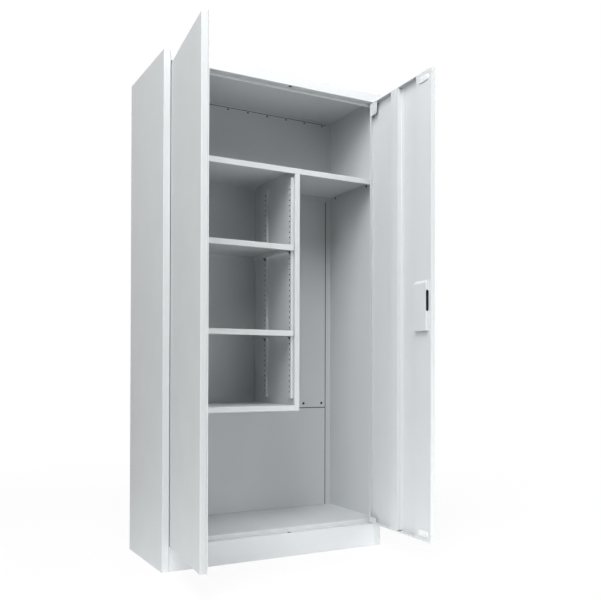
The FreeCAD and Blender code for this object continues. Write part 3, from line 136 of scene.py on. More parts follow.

# %% [markdown]
# ## Painted shade behind the racks and in the seams
#
# The racks are welded to the walls, and their slots open onto the hollow behind them.  The seams
# of the back are narrow gaps between sheets.  Both lie in shade, and that shade is painted into the
# coat as a near black.  Dark strips laid on the steel would stand proud of it, and a painted mask
# would need a UV map.  Here the coat is told which narrow boxes of space get the painted shade, and
# a few nodes test whether a point is inside one.

# %% Boxes of painted shade
def math_node(tree, operation, first, second):
    """One step of arithmetic on sockets or numbers."""
    node = tree.nodes.new("ShaderNodeMath")
    node.operation = operation
    for socket, value in zip(node.inputs, (first, second)):
        if isinstance(value, float):
            socket.default_value = value
        else:
            tree.links.new(value, socket)
    return node.outputs["Value"]


def in_boxes(tree, boxes):
    """One inside any of the boxes (lowest and highest corner, object coordinates), else nought.

    A place is inside a box where its distance from the box's middle is below half the box's size
    on all three axes, which is where the largest of the three differences is negative.
    """
    place = tree.nodes.new("ShaderNodeTexCoord").outputs["Object"]
    total = None
    for low, high in boxes:
        middle, half = (np.array(low) + high) / 2, (np.array(high) - low) / 2
        vector = place
        for operation, other in (("SUBTRACT", middle), ("ABSOLUTE", None), ("SUBTRACT", half)):
            step = tree.nodes.new("ShaderNodeVectorMath")
            step.operation = operation
            tree.links.new(vector, step.inputs[0])
            if other is not None:
                step.inputs[1].default_value = other
            vector = step.outputs["Vector"]
        split = tree.nodes.new("ShaderNodeSeparateXYZ")
        tree.links.new(vector, split.inputs["Vector"])
        largest = math_node(tree, "MAXIMUM", split.outputs["X"], split.outputs["Y"])
        largest = math_node(tree, "MAXIMUM", largest, split.outputs["Z"])
        inside = math_node(tree, "LESS_THAN", largest, 0.0)
        total = inside if total is None else math_node(tree, "MAXIMUM", total, inside)
    return total


RACKS = ("left_front_rack", "left_rear_rack", "divider_front_rack", "divider_rear_rack")
HALF_SHEET = 0.0004


def behind_rack(node):
    """The hollow of a rack, from the middle of its own sheet to the middle of the wall's, where shade is painted.
    """
    low, high = (np.array(corner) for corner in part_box(node))
    to_wall = -HALF_SHEET if node.startswith("left") else HALF_SHEET
    return low + (to_wall, HALF_SHEET, 0), high + (to_wall, -HALF_SHEET, 0)


REAR_FLANGE, ROOF_EDGE, SEAM_WIDTH, ROOF_SEAM_WIDTH = 0.024, 1.788, 0.0034, 0.0022
SEAM_PROUD = 0.001


def shaded_back_seams():
    """Narrow boxes of painted shade on the inner face of the back: its joint, the roof's edge, both rear flanges.

    The upright ones stop under the top shelf.
    """
    joint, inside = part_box("upper_back_panel")[0][2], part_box("upper_back_panel")[0][1]
    near, far, half = inside - SEAM_PROUD, inside + HALF_SHEET, WIDTH / 2
    level = [((-half, near, z - wide / 2), (half, far, z + wide / 2))
             for z, wide in ((joint, SEAM_WIDTH), (ROOF_EDGE, ROOF_SEAM_WIDTH))]
    edge, shelf = half - REAR_FLANGE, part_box("top_shelf")[0][2]
    upright = [((x - SEAM_WIDTH, near, 0.0), (x, far, shelf)) for x in (SEAM_WIDTH - edge, edge)]
    return level + upright


shaded_rack_hollows = [behind_rack(node) for node in RACKS]
print(len(shaded_rack_hollows), "hollows behind racks,", len(shaded_back_seams()), "seams on the back")

# %% [markdown]
# ## The powder coat
#
# The whole cupboard wears one light grey powder coat, baked on thick, with a low gloss and a fine
# orange peel.  A plain grey would look like card.  Very wide noise moves the grey by a hundredth,
# wide noise moves the sheen, and fine noise gives the peel.

# %% Powder coat
# PAINTED_SHADE is painted shade: the near black of the hollows behind the racks and of the seams.
COAT, PAINTED_SHADE = (0.60, 0.62, 0.63), (0.012, 0.012, 0.012)
COAT_ROUGHNESS, ROUGHNESS_SPREAD, COAT_GLOSS = 0.48, 0.04, 0.30
GREY_SCALE, GREY_SPREAD, SHEEN_SCALE = 3.0, 0.01, 9.0
PEEL_SCALE, PEEL_HEIGHT, PEEL_STRENGTH = 900.0, 0.00006, 0.35


def powder_coat(name, shaded_boxes=()):
    """Baked powder paint, with a near-black painted shade inside the boxes that it is given."""
    material, tree, shader = new_material(name)
    greys = shade(COAT, 1 - GREY_SPREAD), shade(COAT, 1 + GREY_SPREAD)
    paint = ramp(tree, object_noise(tree, GREY_SCALE, 3.0, 0.55), *greys)
    if shaded_boxes:
        mix = tree.nodes.new("ShaderNodeMix")
        mix.data_type = "RGBA"
        tree.links.new(in_boxes(tree, shaded_boxes), mix.inputs["Factor"])
        tree.links.new(paint, mix.inputs["A"])
        mix.inputs["B"].default_value = (*PAINTED_SHADE, 1)
        paint = mix.outputs["Result"]
    tree.links.new(paint, shader.inputs["Base Color"])
    sheens = COAT_ROUGHNESS - ROUGHNESS_SPREAD, COAT_ROUGHNESS + ROUGHNESS_SPREAD
    sheen = ramp(tree, object_noise(tree, SHEEN_SCALE, 2.0), *sheens)
    tree.links.new(sheen, shader.inputs["Roughness"])
    shader.inputs["Specular IOR Level"].default_value = COAT_GLOSS
    add_bump(tree, shader, object_noise(tree, PEEL_SCALE, 1.0), PEEL_HEIGHT, PEEL_STRENGTH)
    return material


coat = powder_coat("powder_coat_light_grey")
# The racks and the walls they are welded to get the shade of the hollows painted in near black.
coat_with_rack_shade = powder_coat("powder_coat_painted_rack_shade", shaded_rack_hollows)
# The two back panels get the shade of their seams painted in near black.
coat_with_seam_shade = powder_coat("powder_coat_painted_seam_shade", shaded_back_seams())
print("three copies of one coat:", coat.name, coat_with_rack_shade.name, coat_with_seam_shade.name)

# %% [markdown]
# ## Zinc and chrome
#
# Rods, bolts and rivets are zinc plated, and plating is metal: nearly all that it shows is what it
# reflects.  A cloud of fine noise varies its colour and its roughness together, as the spangle of
# the zinc does.  The lock cylinder is the same tree, smoother and a little darker.

# %% Plated steel
SPANGLE_SCALE, SPANGLE_STOPS = 260.0, (0.35, 0.65)
DARK_SPANGLE, BRIGHT_SPANGLE, SMOOTHER, ROUGHER = 0.85, 1.12, 0.08, 0.1


def plated_steel(name, colour, roughness):
    """Bright plating with fine cloudy spangle."""
    material, tree, shader = new_material(name)
    cloud = object_noise(tree, SPANGLE_SCALE, 3.0, 0.6)
    greys = shade(colour, DARK_SPANGLE), shade(colour, BRIGHT_SPANGLE)
    tree.links.new(ramp(tree, cloud, *greys, SPANGLE_STOPS), shader.inputs["Base Color"])
    shader.inputs["Metallic"].default_value = 1.0
    sheen = ramp(tree, cloud, roughness - SMOOTHER, roughness + ROUGHER)
    tree.links.new(sheen, shader.inputs["Roughness"])
    return material


zinc = plated_steel("zinc_plated_steel", (0.66, 0.67, 0.68), 0.42)
chrome = plated_steel("chromed_cylinder", (0.62, 0.62, 0.63), 0.18)
print("plated finishes:", zinc.name, chrome.name)

# %% [markdown]
# ## Plastics
#
# Handle, plugs and clips are black, and the rod guides and washers are pale nylon.  Both come
# from moulds with a fine spark-eroded grain.  Displaced faces would have to be smaller than
# the grain, so it is a bump, far smaller than the orange peel.

# %% Moulded plastic
MOULD_SCALE, MOULD_GRAIN, GRAIN_STRENGTH = 1800.0, 0.00004, 0.5
CLOUD_SCALE, CLOUD_FACTOR, CLOUD_LIFT = 40.0, 1.15, 0.003


def moulded_plastic(name, colour, roughness):
    """Moulded plastic with a fine grain and a faint cloud in its colour."""
    material, tree, shader = new_material(name)
    cloud = ramp(tree, object_noise(tree, CLOUD_SCALE, 2.0), colour,
                 shade(colour, CLOUD_FACTOR, CLOUD_LIFT))
    tree.links.new(cloud, shader.inputs["Base Color"])
    shader.inputs["Roughness"].default_value = roughness
    add_bump(tree, shader, object_noise(tree, MOULD_SCALE, 1.0), MOULD_GRAIN, GRAIN_STRENGTH)
    return material


black_plastic = moulded_plastic("black_moulded_plastic", (0.012, 0.012, 0.013), 0.45)
white_nylon = moulded_plastic("white_nylon", (0.66, 0.67, 0.67), 0.5)
print("plastics:", black_plastic.name, white_nylon.name)

# %% [markdown]
# ## Giving out the finishes
#
# The record names a material slot for each node, and each slot has one finish here.  A few nodes
# get their own: the racks and what they are welded to, and the two back panels, whose coats carry
# painted shade in the hollows behind the racks and in the seams; and the hinge plates, which are
# riveted to the doors before painting.

# %% Finishes of the nodes
FINISH_OF_SLOT = {
    "powder_coat": coat,
    "zinc_steel": zinc,
    "black_plastic": black_plastic,
    "grey_nylon": white_nylon,
    "chromed_lock": chrome,
}
OWN_COATS = {node: coat_with_rack_shade for node in RACKS + ("left_side_panel", "divider")}
OWN_COATS.update({level + "_back_panel": coat_with_seam_shade for level in ("upper", "lower")})
for side in ("left", "right"):
    OWN_COATS.update({"%s_%s_hinge_plate" % (side, level): coat for level in ("upper", "lower")})
for subpart in frame["record"]["subparts"]:
    node = subpart["node"]
    mesh = nodes[node].data
    mesh.materials.clear()
    mesh.materials.append(OWN_COATS.get(node, FINISH_OF_SLOT[subpart["material_slot"]]))
print(len(FINISH_OF_SLOT), "finishes given out,", len(OWN_COATS), "nodes with a coat of their own")

# %% [markdown]
# ## Shapes as whole arrays
#
# Turned heads, caps, levers and bent strips are all one idea: closed rings of points, one ring
# after another, with a skin over them.  Cubes and cylinders with modifiers could be bent into most
# of them, but each would need its own recipe.  A ring is a rounded rectangle.  With its corners as
# large as it is wide it is a circle, and with straight sides between two half circles it is an oval.

# %% Rings
def rounded_outline(half_wide, half_high, corner, around):
    """X and Y of rounded rectangles, one row for each size.

    The centre of a corner lies one corner radius inside both sides.  A point is that centre, in
    the quadrant of its angle, plus the radius times the cosine and the sine of the angle.
    """
    sizes = [np.atleast_1d(size).astype(float) for size in (half_wide, half_high, corner)]
    half_wide, half_high, corner = [size[:, None] for size in np.broadcast_arrays(*sizes)]
    angle = (np.arange(around) + 0.5) * 2 * np.pi / around
    x = (half_wide - corner) * np.sign(np.cos(angle)) + corner * np.cos(angle)
    y = (half_high - corner) * np.sign(np.sin(angle)) + corner * np.sin(angle)
    return x, y


def stacked(layers, around=32):
    """Rings one above the other; a layer is (half width, half height, corner, level).

    A point is the outline's X and Y at its layer's sizes, and the layer's level.
    """
    half_wide, half_high, corner, level = np.array(layers, float).T
    x, y = rounded_outline(half_wide, half_high, corner, around)
    return np.stack([x, y, np.repeat(level[:, None], around, axis=1)], axis=-1)


def turned(profile, around=24):
    """Rings of a turned shape; a row of the profile is (radius, level)."""
    return stacked([(radius, radius, radius, level) for radius, level in profile], around)


disc = turned([(0.01, 0.0), (0.01, 0.02)])
print("a plain disc: %d rings of %d points" % disc.shape[:2])

# %% [markdown]
# A bar that bends has the same rings, but each stands square to its path.  A curve object could
# carry the section too, but a section that changes on the way is easier to give as numbers.

# %% Bars along a path
STEPS_IN_A_BEND = 5


def swept(path, side, half_thick, half_wide, corner, around=24):
    """Rings of a bar along a path; its width lies along side, its thickness across side and path.

    A point is the path's, plus the outline's X along the normal, plus the outline's Y along side.
    """
    path, side = np.asarray(path, float), np.asarray(side, float)
    onward = np.gradient(path, axis=0)
    onward /= np.linalg.norm(onward, axis=1)[:, None]
    normal = np.cross(onward, side)
    ones = np.ones(len(path))
    thick, wide = rounded_outline(half_thick * ones, half_wide * ones, corner * ones, around)
    return path[:, None] + thick[..., None] * normal[:, None] + wide[..., None] * side


def rounded_path(corners, radius):
    """A path that turns each corner on a short curve, which starts and ends a radius from it.

    The curve is quadratic: it is pulled towards the corner by twice the product of both shares.
    """
    corners = np.asarray(corners, float)
    share = np.linspace(0, 1, STEPS_IN_A_BEND)[:, None]
    pieces = [corners[:1]]
    for before, corner, after in zip(corners, corners[1:], corners[2:]):
        start = corner + (before - corner) * radius / np.linalg.norm(before - corner)
        end = corner + (after - corner) * radius / np.linalg.norm(after - corner)
        pieces.append((1 - share) ** 2 * start + 2 * share * (1 - share) * corner + share ** 2 * end)
    return np.vstack(pieces + [corners[-1:]])


bend = rounded_path([(0, 0, 0), (0.01, 0, 0), (0.01, 0.01, 0)], 0.002)
print("a path with one bend:", len(bend), "points")

# %% [markdown]
# The skin joins each ring to the next.  Its faces are rows of point numbers, so they are worked
# out as arrays as well, with no loop over the points.

# %% Skin
def skin(rings, endless=False):
    """Points and faces of a closed skin: quads from ring to ring, and a fan over each end.

    An endless skin joins its last ring to its first instead, as a tube or a washer needs.
    """
    rows, around, _ = rings.shape
    points = np.vstack([rings.reshape(-1, 3), rings[[0, -1]].mean(axis=1)])
    starts = np.arange(rows if endless else rows - 1)
    row, column = np.meshgrid(starts * around, np.arange(around), indexing="ij")
    next_row = (row + around) % (rows * around)
    following = (column + 1) % around
    quads = np.stack([row + column, row + following, next_row + following, next_row + column], axis=-1)
    if endless:
        return points[:-2], [quads.reshape(-1, 4)]
    column, following = column[0], following[0]
    last = (rows - 1) * around
    low_fan = np.stack([following, column, np.full(around, rows * around)], axis=-1)
    high_fan = np.stack([last + column, last + following, np.full(around, rows * around + 1)], axis=-1)
    return points, [quads.reshape(-1, 4), low_fan, high_fan]


disc_points, disc_faces = skin(disc)
print("its skin:", len(disc_points), "points,", sum(len(group) for group in disc_faces), "faces")

# %% [markdown]
# A piece is drawn flat, with its outward side up, and then laid on the steel.  A spot says where:
# its middle, the direction of its X, the direction of its Y, and the way that it faces.  The place
# goes into the mesh itself, so that a pattern in object coordinates keeps its size and its place.
# An edge sharper than the angle below stays crisp, and the rest is shaded smooth.

# %% Laying a piece
SHARP_EDGE = math.radians(40.0)


def laid(shell, spot):
    """A skin laid on a spot: its X, Y and Z go along the spot's three directions from its middle."""
    points, faces = shell
    middle, across, up, out = [np.asarray(vector, float) for vector in spot]
    return middle + points @ np.array([across, up, out]), faces


def make_piece(name, shells, slot, body):
    """One object out of several skins, with its faces outwards, riding on a body of the frame."""
    points, faces, count = [], [], 0
    for shell_points, groups in shells:
        points.append(shell_points)
        for group in groups:
            faces += (group + count).tolist()
        count += len(shell_points)
    mesh = bpy.data.meshes.new(name)
    mesh.from_pydata(np.vstack(points).tolist(), [], faces)
    outwards = bmesh.new()
    outwards.from_mesh(mesh)
    bmesh.ops.recalc_face_normals(outwards, faces=outwards.faces)
    outwards.to_mesh(mesh)
    outwards.free()
    mesh.polygons.foreach_set("use_smooth", np.ones(len(mesh.polygons), bool))
    mesh.set_sharp_from_angle(angle=SHARP_EDGE)
    mesh.materials.append(FINISH_OF_SLOT[slot])
    piece = bpy.data.objects.new(name, mesh)
    bpy.context.scene.collection.objects.link(piece)
    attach(piece, body)
    print("%-24s %3d skins %6d faces on %s" % (name, len(shells), len(faces), body))
    return piece


print("edges over %.0f degrees stay sharp" % math.degrees(SHARP_EDGE))

# %% [markdown]
# ## Spots on the carcass and on the doors
#
# The back's fasteners face the front inside and the rear outside.  A door's spots are measured
# from its hinge edge, from its outer face and from the floor, whatever its angle: the hinge joint
# says how far the door stands open at rest.

# %% Spots
BACK_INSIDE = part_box("upper_back_panel")[0][1]
BACK_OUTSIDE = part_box("upper_back_panel")[1][1]
SHELL_BACK = carcass_high.y
PIVOT_IN, DOOR_WIDTH, DOOR_DEPTH, SHEET = 0.0062, 0.421, 0.018, 0.0008
DOOR_LOW, DOOR_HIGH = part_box("right_door_skin")[0][2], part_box("right_door_skin")[1][2]
JOINTS = {joint["name"]: joint for joint in frame["joints"]}


def inside_back(x, z, y=BACK_INSIDE):
    """A spot on the inner side of the back."""
    return (x, y, z), (1, 0, 0), (0, 0, 1), (0, -1, 0)


def outside_back(x, z, y):
    """A spot on the outer side of the back."""
    return (x, y, z), (-1, 0, 0), (0, 0, 1), (0, 1, 0)


def door_axes(side):
    """The hinge edge of a door's outer face at floor level, and the ways along and into the door."""
    joint = JOINTS[side + "_door_hinge"]
    way = 1 if side == "left" else -1
    turn = -math.radians(joint["range_deg"][0]) * joint["axis"][2]
    along = way * np.array([math.cos(turn), math.sin(turn), 0])
    inward = np.array([-math.sin(turn), math.cos(turn), 0])
    pivot = np.array([joint["pos_m"][0], joint["pos_m"][1], 0])
    return pivot - along * PIVOT_IN - inward * (joint["pos_m"][1] - FRONT), along, inward


def in_door(side, distance, height, depth=DOOR_DEPTH):
    """A spot on a face of a door that looks into the cupboard."""
    start, along, inward = door_axes(side)
    middle = start + along * distance + inward * depth + np.array([0, 0, height])
    return middle, along, (0, 0, 1), inward


def outside_door(side, distance, height):
    """A spot on the outer face of a door; X runs towards the free edge."""
    middle, along, up, inward = in_door(side, distance, height, 0.0)
    return middle, along, up, -inward


for side in ("left", "right"):
    print(side, "door's free edge at", np.round(in_door(side, DOOR_WIDTH, 0)[0], 4))

# %% [markdown]
# ## Rivets, plugs and clips
#
# The back is closed with pressed-in fasteners.  A head is a low dome, and a blind rivet also has
# the small hole that its mandrel left.  A squashed sphere would have neither the upright rim nor
# the hole, so a head is a few turned rings.  They are laid where the frame has its plain ones.

# %% Heads of plugs and clips
MANDREL_HOLE, HOLE_TAPER, HOLE_FLOOR = 0.0011, 0.85, 0.35


def button(radius, height, straight=0.0, hole=0.0):
    """A domed head: its rim rises, then it crowns over; straight makes it an oval.

    Each ring is so large a share of the radius, at so large a share of the height.
    """
    outline = [(1.0, -0.15), (1.0, 0.30), (0.96, 0.55), (0.86, 0.78), (0.68, 0.93), (0.45, 1.0)]
    layers = [(radius * wide + straight, radius * wide, radius * wide, height * level)
              for wide, level in outline]
    if hole:
        foot = hole * HOLE_TAPER
        layers += [(hole, hole, hole, height * 0.97), (foot, foot, foot, height * HOLE_FLOOR)]
    return skin(stacked(layers))


def middle_height(node):
    """Height of the middle of a node's box."""
    low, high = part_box(node)
    return (low[2] + high[2]) / 2


def row_of(node, count, margin):
    """X of each fastener in a row, whose end ones lie a margin inside the node's box."""
    low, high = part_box(node)
    return np.linspace(low[0] + margin, high[0] - margin, count)


FASTENERS_IN_A_ROW = 10
HEAD_HEIGHT = 0.0012
PLUG_MARGIN, PLUG_RADIUS, CLIP_HALF_LONG, CLIP_HALF_HIGH = 0.0050, 0.0056, 0.0044, 0.0022
CLOSING_RADIUS = 0.0034
seam_height = middle_height("back_seam_plugs")
roof_height = middle_height("roof_flange_clips")
closing_head = button(CLOSING_RADIUS, HEAD_HEIGHT, hole=MANDREL_HOLE)

plugs, clips = [], []
for x in row_of("back_seam_plugs", FASTENERS_IN_A_ROW, PLUG_MARGIN):
    plugs.append(laid(button(PLUG_RADIUS, HEAD_HEIGHT), inside_back(x, seam_height)))
    plugs.append(laid(closing_head, outside_back(x, seam_height, SHELL_BACK)))
for x in row_of("roof_flange_clips", FASTENERS_IN_A_ROW, CLIP_HALF_LONG):
    head = button(CLIP_HALF_HIGH, HEAD_HEIGHT, CLIP_HALF_LONG - CLIP_HALF_HIGH)
    clips.append(laid(head, inside_back(x, roof_height)))
    clips.append(laid(closing_head, outside_back(x, roof_height, SHELL_BACK)))
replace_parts(make_piece("seam_plug_heads", plugs, "black_plastic", "carcass"), "back_seam_plugs")
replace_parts(make_piece("roof_clip_heads", clips, "black_plastic", "carcass"), "roof_flange_clips")

# %% [markdown]
# The two rear flanges are riveted to the back sheets, one rivet in the lower sheet and three in
# the upper one.

# %% Rear flange rivets
FLANGE_RIVET_HEIGHTS = (0.250, 0.629, 1.175, 1.721)
FLANGE_INSIDE = BACK_INSIDE - SHEET
flange_rivets = []
for x in row_of("rear_flange_rivets", 2, CLOSING_RADIUS):
    for z in FLANGE_RIVET_HEIGHTS:
        flange_rivets.append(laid(closing_head, inside_back(x, z, FLANGE_INSIDE)))
        flange_rivets.append(laid(button(CLOSING_RADIUS, SHEET), outside_back(x, z, BACK_OUTSIDE)))
flange_heads = make_piece("rear_flange_rivet_heads", flange_rivets, "zinc_steel", "carcass")
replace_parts(flange_heads, "rear_flange_rivets")

# %% [markdown]
# ## Shelf clips
#
# A clip is a black strip, bent three times: it hooks through a slot, climbs the rack and turns
# out under the shelf.  A bar swept along its middle line, with short curves at the bends, shows
# the folds that a cut-out block lacks.

# %% Bent clips
CLIP_SHEET, CLIP_WIDTH, CLIP_FOLD, CLIP_REACH = 0.0018, 0.008, 0.0016, 0.009
RACK_FACES = {"left": (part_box("left_front_rack")[1][0], 1),
              "divider": (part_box("divider_front_rack")[0][0], -1)}


def shelf_clips(shelf):
    """The four clips of one shelf, hooked in the slots under its edges."""
    low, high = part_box(shelf + "_clips")
    shells = []
    for wall, (face, inward) in RACK_FACES.items():
        for place in ("front", "rear"):
            rack_low, rack_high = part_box("%s_%s_rack" % (wall, place))
            middle = (rack_low[1] + rack_high[1]) / 2
            behind, proud = face - inward * (SHEET + CLIP_SHEET), face + inward * CLIP_SHEET / 2
            hook = low[2] + CLIP_SHEET * 3 / 2
            corners = [
                (behind, middle, low[2]),
                (behind, middle, hook),
                (proud, middle, hook),
                (proud, middle, high[2] - CLIP_SHEET / 2),
                (face + inward * CLIP_REACH, middle, high[2] - CLIP_SHEET / 2),
            ]
            path = rounded_path(corners, CLIP_FOLD / 2)
            bar = swept(path, (0, 1, 0), CLIP_SHEET / 2, CLIP_WIDTH / 2, CLIP_SHEET / 4)
            shells.append(skin(bar))
    return shells


for shelf in ("lower_shelf", "upper_shelf"):
    bent = make_piece(shelf + "_bent_clips", shelf_clips(shelf), "black_plastic", "carcass")
    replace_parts(bent, shelf + "_clips")

# %% [markdown]
# ## Nuts of the fixed shelves
#
# The fixed shelves hang on studs in the side walls.  Each stud has a dark cap nut: a hexagon with
# its corners turned off, a washer under it and a dome on top.  Cylinders would do from afar, but
# they have neither the turned corners nor the dome.  All three are the same turned shape, and a
# hexagon is one with only six points in a ring.

# %% Cap nuts
NUT_RADIUS, WASHER_RADIUS, WASHER_LEVEL, NUT_LEVEL = 0.0040, 0.0045, 0.0005, 0.0018


def cap_nut(spot):
    """A washer, a six-sided nut and its dome, each its own skin."""
    rim = WASHER_RADIUS - 0.0003
    washer = turned([(WASHER_RADIUS, -0.0001), (WASHER_RADIUS, WASHER_LEVEL), (rim, 0.0007)])
    chamfer = NUT_RADIUS * 0.92
    hexagon = turned([(NUT_RADIUS, WASHER_LEVEL), (NUT_RADIUS, NUT_LEVEL), (chamfer, 0.0021)], around=6)
    foot, shoulder, crown = NUT_RADIUS * 0.80, NUT_RADIUS * 0.72, NUT_RADIUS * 0.45
    dome = turned([(foot, NUT_LEVEL), (shoulder, 0.0023), (crown, 0.0026)])
    return [laid(skin(rings), spot) for rings in (washer, hexagon, dome)]


def stud_spots(node, walls):
    """Front and rear spots on the side flanges of a fixed shelf; walls are (X, way in)."""
    low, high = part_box(node)
    for face, inward in walls:
        for y in (low[1] + WASHER_RADIUS, high[1] - WASHER_RADIUS):
            yield (face, y, middle_height(node)), (0, -inward, 0), (0, 0, 1), (inward, 0, 0)


left_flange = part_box("top_shelf_studs")[0][0] + SHEET
right_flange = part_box("top_shelf_studs")[1][0] - SHEET
for node, walls in (("top_shelf_studs", [(left_flange, 1), (right_flange, -1)]),
                    ("fixed_shelf_studs", [(left_flange, 1)])):
    nuts = [shell for spot in stud_spots(node, walls) for shell in cap_nut(spot)]
    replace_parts(make_piece(node + "_cap_nuts", nuts, "black_plastic", "carcass"), node)

# %% [markdown]
# ## Rivets of the doors
#
# Blind rivets hold the hinge plates, and tie the stiffener and the stile to the lower lip.  They
# are the same heads as on the back, and their mandrel holes read as small dark dots.

# %% Door rivets
RIVET_RADIUS, FOOT_DEPTH = 0.0028, 2 * SHEET
PLATE_RIVETS = [(0.043, DOOR_HIGH - 0.0388), (0.033, DOOR_LOW + 0.0128)]
LIP_RIVETS = [(along, DOOR_LOW + 0.011) for along in (0.1505, 0.2140, 0.3210)]
for side in ("left", "right"):
    head = button(RIVET_RADIUS, HEAD_HEIGHT, hole=MANDREL_HOLE)
    plate_heads = [laid(head, in_door(side, x, z, DOOR_DEPTH - SHEET)) for x, z in PLATE_RIVETS]
    riveted = make_piece(side + "_hinge_rivet_heads", plate_heads, "zinc_steel", side + "_door")
    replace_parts(riveted, side + "_hinge_rivets")
    lip_heads = [laid(head, in_door(side, x, z, FOOT_DEPTH)) for x, z in LIP_RIVETS]
    make_piece(side + "_lip_rivet_heads", lip_heads, "zinc_steel", side + "_door")

# %% [markdown]
# ## Spot welds
#
# The feet of the stiffener and of the stile are spot-welded to the door skin.  Under the paint each
# weld is a shallow dished ring.  A bump in the coat would vanish against the light, so the marks
# are real rings, two tenths of a millimetre high, of the same coat.

# %% Weld marks
WELD_PITCH, FIRST_WELD, LAST_WELD = 0.118, 0.060, 0.030
WELD_FEET = (0.1505, 0.2135, 0.3210)
weld_mark = skin(turned([(0.0030, -0.0001), (0.0030, 0.00008), (0.0026, 0.00022), (0.0021, 0.00020),
                         (0.0015, 0.00004)], around=16))
weld_heights = np.arange(DOOR_LOW + FIRST_WELD, DOOR_HIGH - LAST_WELD, WELD_PITCH)
for side in ("left", "right"):
    welds = [laid(weld_mark, in_door(side, x, z, FOOT_DEPTH)) for x in WELD_FEET for z in weld_heights]
    make_piece(side + "_door_spot_welds", welds, "powder_coat", side + "_door")

# %% [markdown]
# ## Rod guides
#
# Each lock rod runs through a nylon block in the stile, and the block's oval face is what shows.
# A flattened sphere would be round all over.  The face is a shallow cap, nearly flat, with a soft
# rim, and a raised screw goes through each end.

# %% Guide caps and screws
GUIDE_HALF_LONG, GUIDE_HALF_HIGH, GUIDE_PROUD = 0.0292, 0.0107, 0.0036
GUIDE_SCREW_RADIUS, GUIDE_SCREW_AT = 0.0026, 0.020
LOCK_AT = 0.378


def guide_cap(spot):
    """An oval cap: up the side, round the rim, and over a face that crowns very slightly."""
    rim_and_face = [(0, -0.0001), (0, 0.60), (0.0004, 0.82), (0.0012, 0.96), (0.0026, 1.0),
                    (0.0070, 1.03)]
    layers = []
    for inset, level in rim_and_face:
        high = GUIDE_HALF_HIGH - inset
        layers.append((GUIDE_HALF_LONG - inset, high, high, GUIDE_PROUD * level))
    return laid(skin(stacked(layers, around=48)), spot)


def screw_head(radius, level):
    """A raised countersunk head with a round-bottomed socket."""
    return skin(turned([(radius, level - 0.0002), (radius, level + 0.0002),
                        (radius * 0.80, level + 0.0006), (radius * 0.42, level + 0.0007),
                        (radius * 0.36, level - 0.0004)]))


guide_screw = screw_head(GUIDE_SCREW_RADIUS, GUIDE_PROUD)
for node in ("upper_rod_guide", "lower_rod_guide"):
    height = middle_height(node)
    spot = in_door("right", LOCK_AT, height)
    make_piece(node + "_cap", [guide_cap(spot)], "grey_nylon", "right_door")
    for end, away in (("near", -GUIDE_SCREW_AT), ("far", GUIDE_SCREW_AT)):
        screw = laid(guide_screw, in_door("right", LOCK_AT + away, height))
        make_piece("%s_screw_%s" % (node, end), [screw], "zinc_steel", "right_door")

# %% [markdown]
# ## Black pad under the lock slot
#
# The tongue swings out through the slot in the lock cover.  A black pad lies on the stile beneath
# it and stands in for the shade inside the cover, so the slot looks black: it is painted shade.  A
# dark patch in the coat would have no thickness, so the pad is a thin block of its own, with a bevel
# round its top.

# %% Pad
lock_height = JOINTS["handle_turn"]["pos_m"][2]
PAD_AT, PAD_HALF_LONG, PAD_HALF_HIGH, PAD_LEVEL, PAD_CORNER = 0.3990, 0.0075, 0.0440, 0.0024, 0.0015
PAD_BEVEL = 0.0003
pad_layers = [(PAD_HALF_LONG, PAD_HALF_HIGH, PAD_CORNER, -0.0002),
              (PAD_HALF_LONG, PAD_HALF_HIGH, PAD_CORNER, PAD_LEVEL - PAD_BEVEL),
              (PAD_HALF_LONG - PAD_BEVEL, PAD_HALF_HIGH - PAD_BEVEL, PAD_CORNER, PAD_LEVEL)]
pad_spot = in_door("right", PAD_AT, lock_height)
# The black pad is painted shade for the inside of the lock cover.
make_piece("lock_slot_shade_pad", [laid(skin(stacked(pad_layers)), pad_spot)], "black_plastic", "right_door")

# %% [markdown]
# A black liner runs round the slot, and its sleeve darkens the slot's walls: painted shade for the
# dark inside of the cover.  A bevelled curve round the slot would give it a round section.  The real
# one is an L, carried round the slot: a sleeve through the wall, and a thin flange on the face of the
# cover.

# %% Liner
COVER_EDGE_AT, COVER_MIDDLE_DEPTH, COVER_WALL = 0.408, 0.024, 0.0012
SLOT_HALF_WIDE, SLOT_HALF_HIGH = 0.004, 0.036
LINER_SLEEVE, LINER_FLANGE, LINER_RISE = 0.0007, 0.0015, 0.0006


def slot_liner():
    """Rings of the L: down the inside of the sleeve, back up its outside, and over the flange."""
    section = [(-LINER_SLEEVE, LINER_RISE * 0.6), (-LINER_SLEEVE, -COVER_WALL), (-0.0001, -COVER_WALL),
               (-0.0001, -0.0001), (LINER_FLANGE, -0.0001), (LINER_FLANGE, LINER_RISE * 0.6),
               (LINER_FLANGE - 0.0004, LINER_RISE), (0.0004 - LINER_SLEEVE, LINER_RISE)]
    layers = [(SLOT_HALF_WIDE + out, SLOT_HALF_HIGH + out, SLOT_HALF_WIDE + out, level)
              for out, level in section]
    return skin(stacked(layers, around=48), endless=True)


slot_spot = in_door("right", COVER_EDGE_AT, lock_height, COVER_MIDDLE_DEPTH)
slot_middle, along_door, straight_up, into_cupboard = slot_spot
liner_spot = (slot_middle, into_cupboard, straight_up, along_door)
# The black liner is painted shade round the slot.
make_piece("lock_slot_shade_liner", [laid(slot_liner(), liner_spot)], "black_plastic", "right_door")

# %% [markdown]
# ## Handle
#
# Outside, a black plate carries a lever with a lock cylinder in its hub.  A cube with a Bevel
# modifier would have the same bevel on its rim and its corners.  The plate is a stack of rounded
# rectangles instead, with wide corners and a rim that rolls over in three small steps.

